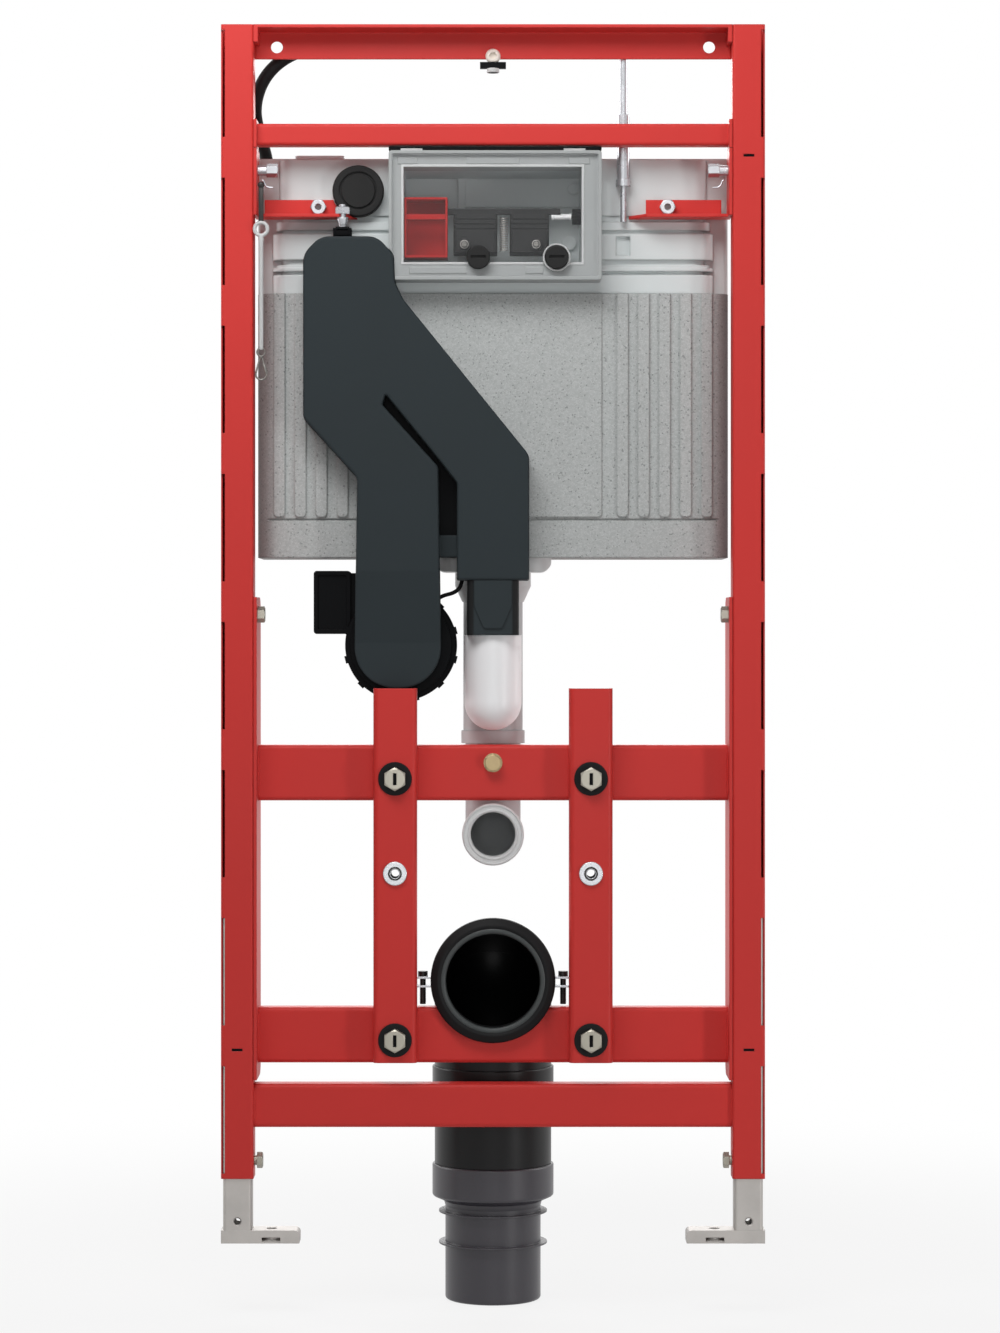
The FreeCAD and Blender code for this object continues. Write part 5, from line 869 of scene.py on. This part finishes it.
def bend_wire(name, radius, start, way, moves, corners=12):
    """Bends a round wire, in millimetres, from a start through a list of moves."""
    bpy.ops.mesh.primitive_circle_add(vertices=corners, radius=radius * MM, fill_type="NOTHING",
                                      location=start,
                                      rotation=way.to_track_quat("Z", "Y").to_euler())
    piece = named(name)
    bpy.ops.object.transform_apply(location=True, rotation=True, scale=True)
    open_mesh(piece)
    for move in moves:
        if isinstance(move, Vector):
            pull(move)
        else:
            centre, axis, angle = move
            bpy.ops.mesh.spin(steps=int(angle / BEND_STEP), angle=-math.radians(angle),
                              center=centre, axis=axis)
    merge()
    bpy.ops.mesh.fill_holes(sides=0)
    close_mesh()
    return piece


print("wire bender ready")

# %% [markdown]
# ### Snap hook
# A snap hook hangs at the rod's end: a pear of thin wire, narrow at its top
# and round at its foot, with a thicker spring gate on its right leg, a swivel
# barrel above it and a small eye. The pear is one wire: down the left leg,
# round the foot, and up the right leg.
# %% Bend the snap hook
ROD_X = -212.8
ROD_DEPTH = -3.5
HOOK_WIRE = 0.85
PEAR_TOP = 814.2
PEAR_LOW = 799.4
PEAR_HALF = 4.7
PEAR_NECK = 0.8
BARREL = ((0.0, 0.0), (1.5, 0.0), (1.9, 0.4), (1.9, 1.6), (1.5, 2.0), (0.0, 2.0))
GATE = ((0.9, 0.0), (1.3, 0.3), (1.45, 2.5), (1.3, 8.5), (0.9, 9.0))


def on_rod(height, beside=0.0):
    """A point on the hanging rod's line, or beside it, in millimetres."""
    return at(ROD_X + beside, ROD_DEPTH, height)


def wire_ring(name, height, reach, wire, corners=12):
    """A ring of round wire that hangs on the rod's line."""
    return bend_wire(name, wire, on_rod(height, reach), UPWARD,
                     [(on_rod(height), BACKWARD, 360)], corners)


lean = PEAR_HALF - PEAR_NECK
slant = math.atan2(lean, PEAR_TOP - PEAR_LOW)
down_leg = Vector((-lean, 0, PEAR_LOW - PEAR_TOP))
up_leg = Vector((-lean, 0, PEAR_TOP - PEAR_LOW))
foot_centre = on_rod(PEAR_LOW - PEAR_HALF * math.tan(slant))
pear = bend_wire("hook_pear", HOOK_WIRE, on_rod(PEAR_TOP, -PEAR_NECK), down_leg.normalized(),
                 [down_leg, (foot_centre, -BACKWARD, 180 + 2 * math.degrees(slant)), up_leg])
eye = wire_ring("hook_eye", 818.6, 3.6, HOOK_WIRE)
barrel = lathe("hook_barrel", BARREL, on_rod(813.2), UPWARD, 24)
gate = lathe("hook_gate", GATE, on_rod(PEAR_LOW, PEAR_HALF), up_leg.normalized(), 20)
complete(joined("snap_hook_wire", [pear, eye, barrel, gate]), hook_steel, "snap_hook")

# %% [markdown]
# ### Hanging strap, ring and rod
# The hook's rod hangs from a pale ring, and the ring from a thin steel strap
# with rounded ends, riveted beside the left bracket. The strap is a cube with
# its four corners bevelled round and both its flats raised a little, and its
# rivet is turned. Ring and rod are one pale moulding with small necks where
# they meet.
# %% Make the strap, the ring and the rod
STRAP_ROUND = 2.2
STRAP_RIM = 0.35
STRAP_RAISED = (1, 1.25, 1)
RIVET = ((0.0, 0.0), (2.4, 0.0), (2.4, -7.0), (3.1, -7.0), (2.9, -8.0), (1.8, -8.9), (0.0, -9.2))
ROD = ((0.0, 0.0), (1.4, 0.2), (2.0, 1.6), (2.0, 3.0), (2.2, 4.0), (2.2, 99.0), (2.6, 101.5),
       (2.6, 104.5), (1.8, 106.5), (0.0, 107.0))
strap = block("strap_blade", (4.6, 1.6, 38), on_rod(955))
open_mesh(strap)
choose(strap, "EDGE", lambda middle, way: abs(way.y) > FACING)
bpy.ops.mesh.bevel(offset=STRAP_ROUND * MM, segments=8)
choose(strap, "FACE", lambda middle, way: abs(way.y) > FACING)
bpy.ops.mesh.inset(thickness=STRAP_RIM * MM)
bpy.ops.transform.resize(value=STRAP_RAISED, center_override=strap.location)
close_mesh()
rivet = lathe("strap_rivet", RIVET, at(ROD_X, 3.5, 972), BACKWARD, 24)
complete(joined("hanging_strap", [strap, rivet]), dark_steel)

ring = wire_ring("rod_ring", 931.6, 5.9, 1.8, 16)
stem = lathe("rod_stem", ROD, on_rod(820.6), UPWARD, 24)
complete(joined("hanging_ring_and_rod", [ring, stem]), pale_grey, "hanging_rod")

# %% [markdown]
# ### Spring clips under the side bolts
# Each bolt that holds a cistern bracket is kept from turning by a small wire
# clip, which shows under the bolt as two short waves.
# %% Bend the clips
def side_clip(side):
    """A wire clip under one side bolt, waved towards the middle of the frame."""
    inward = RIGHTWARD * -side
    base = at(side * 217, 16, 978.5)
    swing = BACKWARD * -side
    first_bend = base + (inward * 4.0 - UPWARD * 1.6) * MM
    second_bend = base + (inward * 11.0 - UPWARD * 1.8) * MM
    return bend_wire("side_clip", 0.9, base, inward,
                     [inward * 4.0, (first_bend, swing, 80), inward * 0.6 - UPWARD * 1.2,
                      (second_bend, -swing, 80), inward * 3.2], 10)


complete(joined("side_clips", [side_clip(side) for side in SIDES]), bright_plate)

# %% [markdown]
# ## Supply hose
# The black water hose starts behind the top rail, goes down behind the left
# column and ends in the elbow on the tank. It is held at both ends, and bends
# in one smooth line, so it is drawn as a NURBS curve through few points and
# then made a mesh. Both ends get a pressed ferrule.
# %% Draw the hose
HOSE_RADIUS = 6.0
HOSE_ROUTE = [at(*place) for place in (
    (-128, 36.3, 1104), (-158, 36.3, 1105), (-188, 38.3, 1099), (-212, 42.3, 1080),
    (-223, 50.3, 1052), (-219, 68, 1027), (-211, 80, 1003), (-211, 80, 983))]
FERRULE = ((5.9, 0.0), (6.9, 0.0), (7.1, 0.4), (7.1, 2.4), (6.5, 2.9), (6.5, 3.6), (7.1, 4.1),
           (7.1, 6.4), (6.5, 6.9), (6.5, 7.6), (7.1, 8.1), (7.1, 11.0), (6.7, 11.6), (5.9, 11.6))


def smooth_line(name, route, radius):
    """A round line, with a radius in millimetres, along a smooth curve, as a mesh."""
    line = bpy.data.curves.new(name, "CURVE")
    line.dimensions = "3D"
    spline = line.splines.new("NURBS")
    spline.points.add(len(route) - 1)
    for point, place in zip(spline.points, route):
        point.co = (*place, 1.0)
    spline.order_u = 3
    spline.use_endpoint_u = True
    spline.resolution_u = 12
    line.bevel_depth = radius * MM
    line.bevel_resolution = 8
    line.use_fill_caps = True
    piece = bpy.data.objects.new(name, line)
    scene.collection.objects.link(piece)
    activate(piece)
    bpy.ops.object.convert(target="MESH")
    return named(name)


def end_rings(name, section, route, far_way, steps, material):
    """Turns a ring on each end of a route."""
    near_way = (route[1] - route[0]).normalized()
    complete(joined(name, [lathe("near_end", section, route[0], near_way, steps),
                           lathe("far_end", section, route[-1], far_way, steps)]), material)


complete(smooth_line("supply_hose_line", HOSE_ROUTE, HOSE_RADIUS), rubber, "supply_hose")
end_rings("hose_ferrules", FERRULE, HOSE_ROUTE, UPWARD, 40, bright_plate)

# %% [markdown]
# ### Fan cable
# A thin cable leaves the fan's rim through a ribbed strain relief, makes a
# small curve and goes up beside the outlet flange. The relief is a cone with
# rings cut into it, so that it bends with the cable.
# %% Draw the fan cable
CABLE_RADIUS = 1.85
CABLE_ROUTE = [at(*place) for place in (
    (-54.7, 47.5, 589.2), (-50.2, 47.5, 595.0), (-34.4, 47.5, 598.5), (-28.4, 47.5, 607.0),
    (-28.4, 47.5, 618.0))]
RELIEF = ((1.7, 0.0), (3.6, 0.0), (3.6, 1.4), (2.7, 1.7), (2.7, 2.3), (3.2, 2.6), (3.2, 3.4),
          (2.5, 3.7), (2.5, 4.3), (2.9, 4.6), (2.7, 5.6), (2.2, 6.2), (1.7, 6.2))
complete(smooth_line("fan_cable_line", CABLE_ROUTE, CABLE_RADIUS), rubber, "fan_cable")
end_rings("cable_reliefs", RELIEF, CABLE_ROUTE, -UPWARD, 28, black_moulding)

# %% [markdown]
# ## Hatch
# A raised lip frames the window inside the hatch, and catches a line of light
# all round; its pale grey, paler than the hatch, is a painted highlight. It is
# a plane of the window's size with its inner part inset and taken out, and the
# remaining band extruded forward and bevelled.
# %% Frame the window
LEFT, RIGHT, LOW, HIGH = -82.3, 81.6, 902.5, 990.2
LIP_WIDTH = 2.4
LIP_FRONT = 9.8
LIP_BACK = 10.6
window_middle = at((LEFT + RIGHT) / 2, LIP_BACK, (LOW + HIGH) / 2)
bpy.ops.mesh.primitive_plane_add(size=MM, location=window_middle,
                                 rotation=(math.radians(90), 0, 0))
lip = named("window_lip")
lip.scale = (RIGHT - LEFT + 2 * LIP_WIDTH, HIGH - LOW + 2 * LIP_WIDTH, 1)
bpy.ops.object.transform_apply(location=True, rotation=True, scale=True)
open_mesh(lip)
bpy.ops.mesh.inset(thickness=LIP_WIDTH * MM)
bpy.ops.mesh.delete(type="FACE")
bpy.ops.mesh.select_all(action="SELECT")
pull(BACKWARD * (LIP_FRONT - LIP_BACK))
close_mesh()
soften(lip, 0.25)
complete(lip, pale_grey)

# %% [markdown]
# Two pale clips hold the dark strip on top of the hatch. Each is a small plate
# with a sunken middle: a cube, its front inset and pushed in, its edges
# bevelled.
# %% Clip the strip
clip = block("strip_clips", (20, 3, 2.4))
open_mesh(clip)
choose_facing(clip, -BACKWARD)
step(0.5, BACKWARD * 0.4)
close_mesh()
soften(clip, 0.2)
repeat(clip, [at(side * 75, 7.6, 1005.6) for side in SIDES], pale_grey)

# %% [markdown]
# ## Flush mechanism
# Behind the clear cover the two lifter blocks carry adjusting pins with a
# screwdriver slot and a coil spring round them, and a third spring stands
# between the blocks. The springs use the wire's round section with the Screw
# modifier. The pins are studs with an inset, slotted head.
# %% Add the pins and the springs
PINS = ((-26.4, 919.7), (39.9, 919.7))
PIN_SLOT = 0.45
COIL_CORNERS = 8


def in_slot(middle, way):
    """Tells the part of the pin's raised head that lies between the two cuts."""
    return way.y < -FACING and abs(middle.z) < 0.3 * MM and middle.y < -2.3 * MM


def coil(name, base, axis, radius, wire, pitch, turns):
    """A coil spring of round wire, in millimetres."""
    angles = [index * math.tau / COIL_CORNERS for index in range(COIL_CORNERS)]
    section = [(radius - wire * math.sin(angle), wire * math.cos(angle)) for angle in angles]
    return climb(name, section, base, axis, pitch, turns)


pin = stud("adjusting_pins", 24, 2.6, 4)
open_mesh(pin)
choose_facing(pin, -BACKWARD)
step(0.5, BACKWARD * -0.6)
for height in (PIN_SLOT, -PIN_SLOT):
    bpy.ops.mesh.bisect(plane_co=(0, 0, height * MM), plane_no=(0, 0, 1))
    choose_facing(pin, -BACKWARD)
choose(pin, "FACE", in_slot)
pull(BACKWARD * 0.5)
close_mesh()
repeat(pin, [at(x, 17.4, height) for x, height in PINS], hook_steel)

lifter_spring = coil("lifter_spring", at(9.8, 30, 914.5), UPWARD, 3.4, 0.5, 2.1, 15)
pin_springs = copies(coil("pin_spring", ORIGIN, BACKWARD, 3.6, 0.4, 1.1, 2),
                     [at(x, 16.2, height) for x, height in PINS])
complete(joined("mechanism_springs", [lifter_spring] + pin_springs), galvanised)

# %% [markdown]
# The spindle is a white tube over the wheel's axle, from the lever to the
# ribbed wheel, with a thread for fine setting and a stop collar at its end.
# %% Add the spindle
SPINDLE = ((2.05, 0.0), (2.9, 0.0), (2.9, 1.6), (2.5, 2.0), (2.5, 16.5), (3.1, 17.0),
           (3.1, 18.4), (2.05, 18.4))
tube = lathe("spindle_tube", SPINDLE, at(54.0, 28, 946), RIGHTWARD, 28)
ridge = thread("spindle_thread", at(56.4, 28, 946), RIGHTWARD, 2.5, 0.35, 1.2, 13)
complete(joined("setting_spindle", [tube, ridge]), cap_white)

# %% [markdown]
# ## Painted shade in the slots
# Three short slits in the columns mark the heights at which the bowl is set,
# and open into the dark tube. The heads of the four bar bolts have a deep
# screwdriver slot. The shade inside each slit and slot is painted: a thin dark
# plate just inside it, a cube with its front inset and hollowed.
# %% Paint shade into the slits and the slots
def slot_shade_plates(name, size, places):
    """Painted shade: thin dark plates with a hollow front, in millimetres, one in each slot."""
    plate = block(name, size)
    open_mesh(plate)
    choose_facing(plate, -BACKWARD)
    step(0.3, BACKWARD * size[1] / 2)
    close_mesh()
    repeat(plate, places, black_moulding)


slot_shade_plates("setting_mark_shade", (9.6, 0.4, 2.1),
           [at(x, 0.35, height) for x, height in ((-235, 178), (235, 178), (235, 999.6))])
slot_shade_plates("bolt_slot_shade", (2.9, 1.2, 10.6),
           [at(side * 90, -9.6, height) for side in SIDES for height in (187, 427)])

# %% [markdown]
# ## Hanger foot
# The duct hangs from its screw by a black moulded foot, a block that clasps
# the plated neck. It is a cube with a raised pad on its front and a step on
# its top, each inset and pulled out, and its corners are bevelled.
# %% Mould the foot
foot = block("hanger_foot", (17, 15.6, 8.8), at(-139, 23, 930.2))
open_mesh(foot)
choose_facing(foot, -BACKWARD)
step(1.6, BACKWARD * -0.8)
choose_facing(foot, UPWARD)
step(2.2, UPWARD * 1.4)
close_mesh()
soften(foot, 0.7)
complete(foot, black_moulding)

# %% [markdown]
# ## Back of the duct's fork
# Between its two legs the duct has a thin back wall. It is black, darker than
# the duct itself, a painted shade that makes the gap look black. It is a flat
# outline with six corners, extruded to a thin plate whose rim lies hidden
# inside the legs.
# %% Close the fork's back
FORK_BACK = ((-114, 776), (-98, 792), (-15, 710), (-15, 640), (-60, 640), (-60, 703))
WALL_FRONT = 31.0
WALL_BACK = 35.0
wall = outline("duct_back_wall_painted_shade", [at(x, WALL_BACK, height) for x, height in FORK_BACK], "NGON")
open_mesh(wall)
pull(BACKWARD * (WALL_FRONT - WALL_BACK))
close_mesh()
complete(wall, black_moulding)

# %% [markdown]
# ## Duct seam
# The duct is moulded in two shells, and a fine seam runs all round its side
# where they meet. A copy of the duct is merged, cut at two depths close
# together, and the band that is left is given a small thickness outward, so
# the seam follows every bend of the outline.
# %% Draw the seam
SEAM_FRONT = 22.0
SEAM_BACK = 23.2
SEAM_RAISE = 0.5
duct_copy = NODES["extraction_duct"].copy()
duct_copy.data = NODES["extraction_duct"].data.copy()
scene.collection.objects.link(duct_copy)
activate(duct_copy)
seam = named("duct_seam")
for key in list(seam.keys()):
    del seam[key]
open_mesh(seam)
bpy.ops.mesh.remove_doubles(threshold=0.01 * MM)
for depth, outward in ((SEAM_FRONT, -BACKWARD), (SEAM_BACK, BACKWARD)):
    bpy.ops.mesh.select_all(action="SELECT")
    bpy.ops.mesh.bisect(plane_co=at(0, depth, 0), plane_no=outward, clear_outer=True)
close_mesh()
modify(seam, "SOLIDIFY", thickness=SEAM_RAISE * MM, offset=1.0)
complete(seam, duct_dark)

# %% [markdown]
# ## Fan screws
# The fan's two halves are held by screws on its back, each a domed head with
# a round recess. One is modelled and copied round the hub.
# %% Screw the fan together
FAN_X = -85.6
FAN_HEIGHT = 549.7
SCREW_DEPTH = 76.2
SCREW_CIRCLE = 40.0
screw = stud("fan_screws", 20, 2.8, 2.4)
open_mesh(screw)
choose_facing(screw, BACKWARD)
step(1.0, BACKWARD * 0.5)
step(0.8, BACKWARD * -0.9)
close_mesh()
angles = [math.radians(degrees) for degrees in (45, 135, 225, 315)]
repeat(screw, [at(FAN_X + SCREW_CIRCLE * math.cos(angle), SCREW_DEPTH,
                  FAN_HEIGHT + SCREW_CIRCLE * math.sin(angle)) for angle in angles], dark_steel)
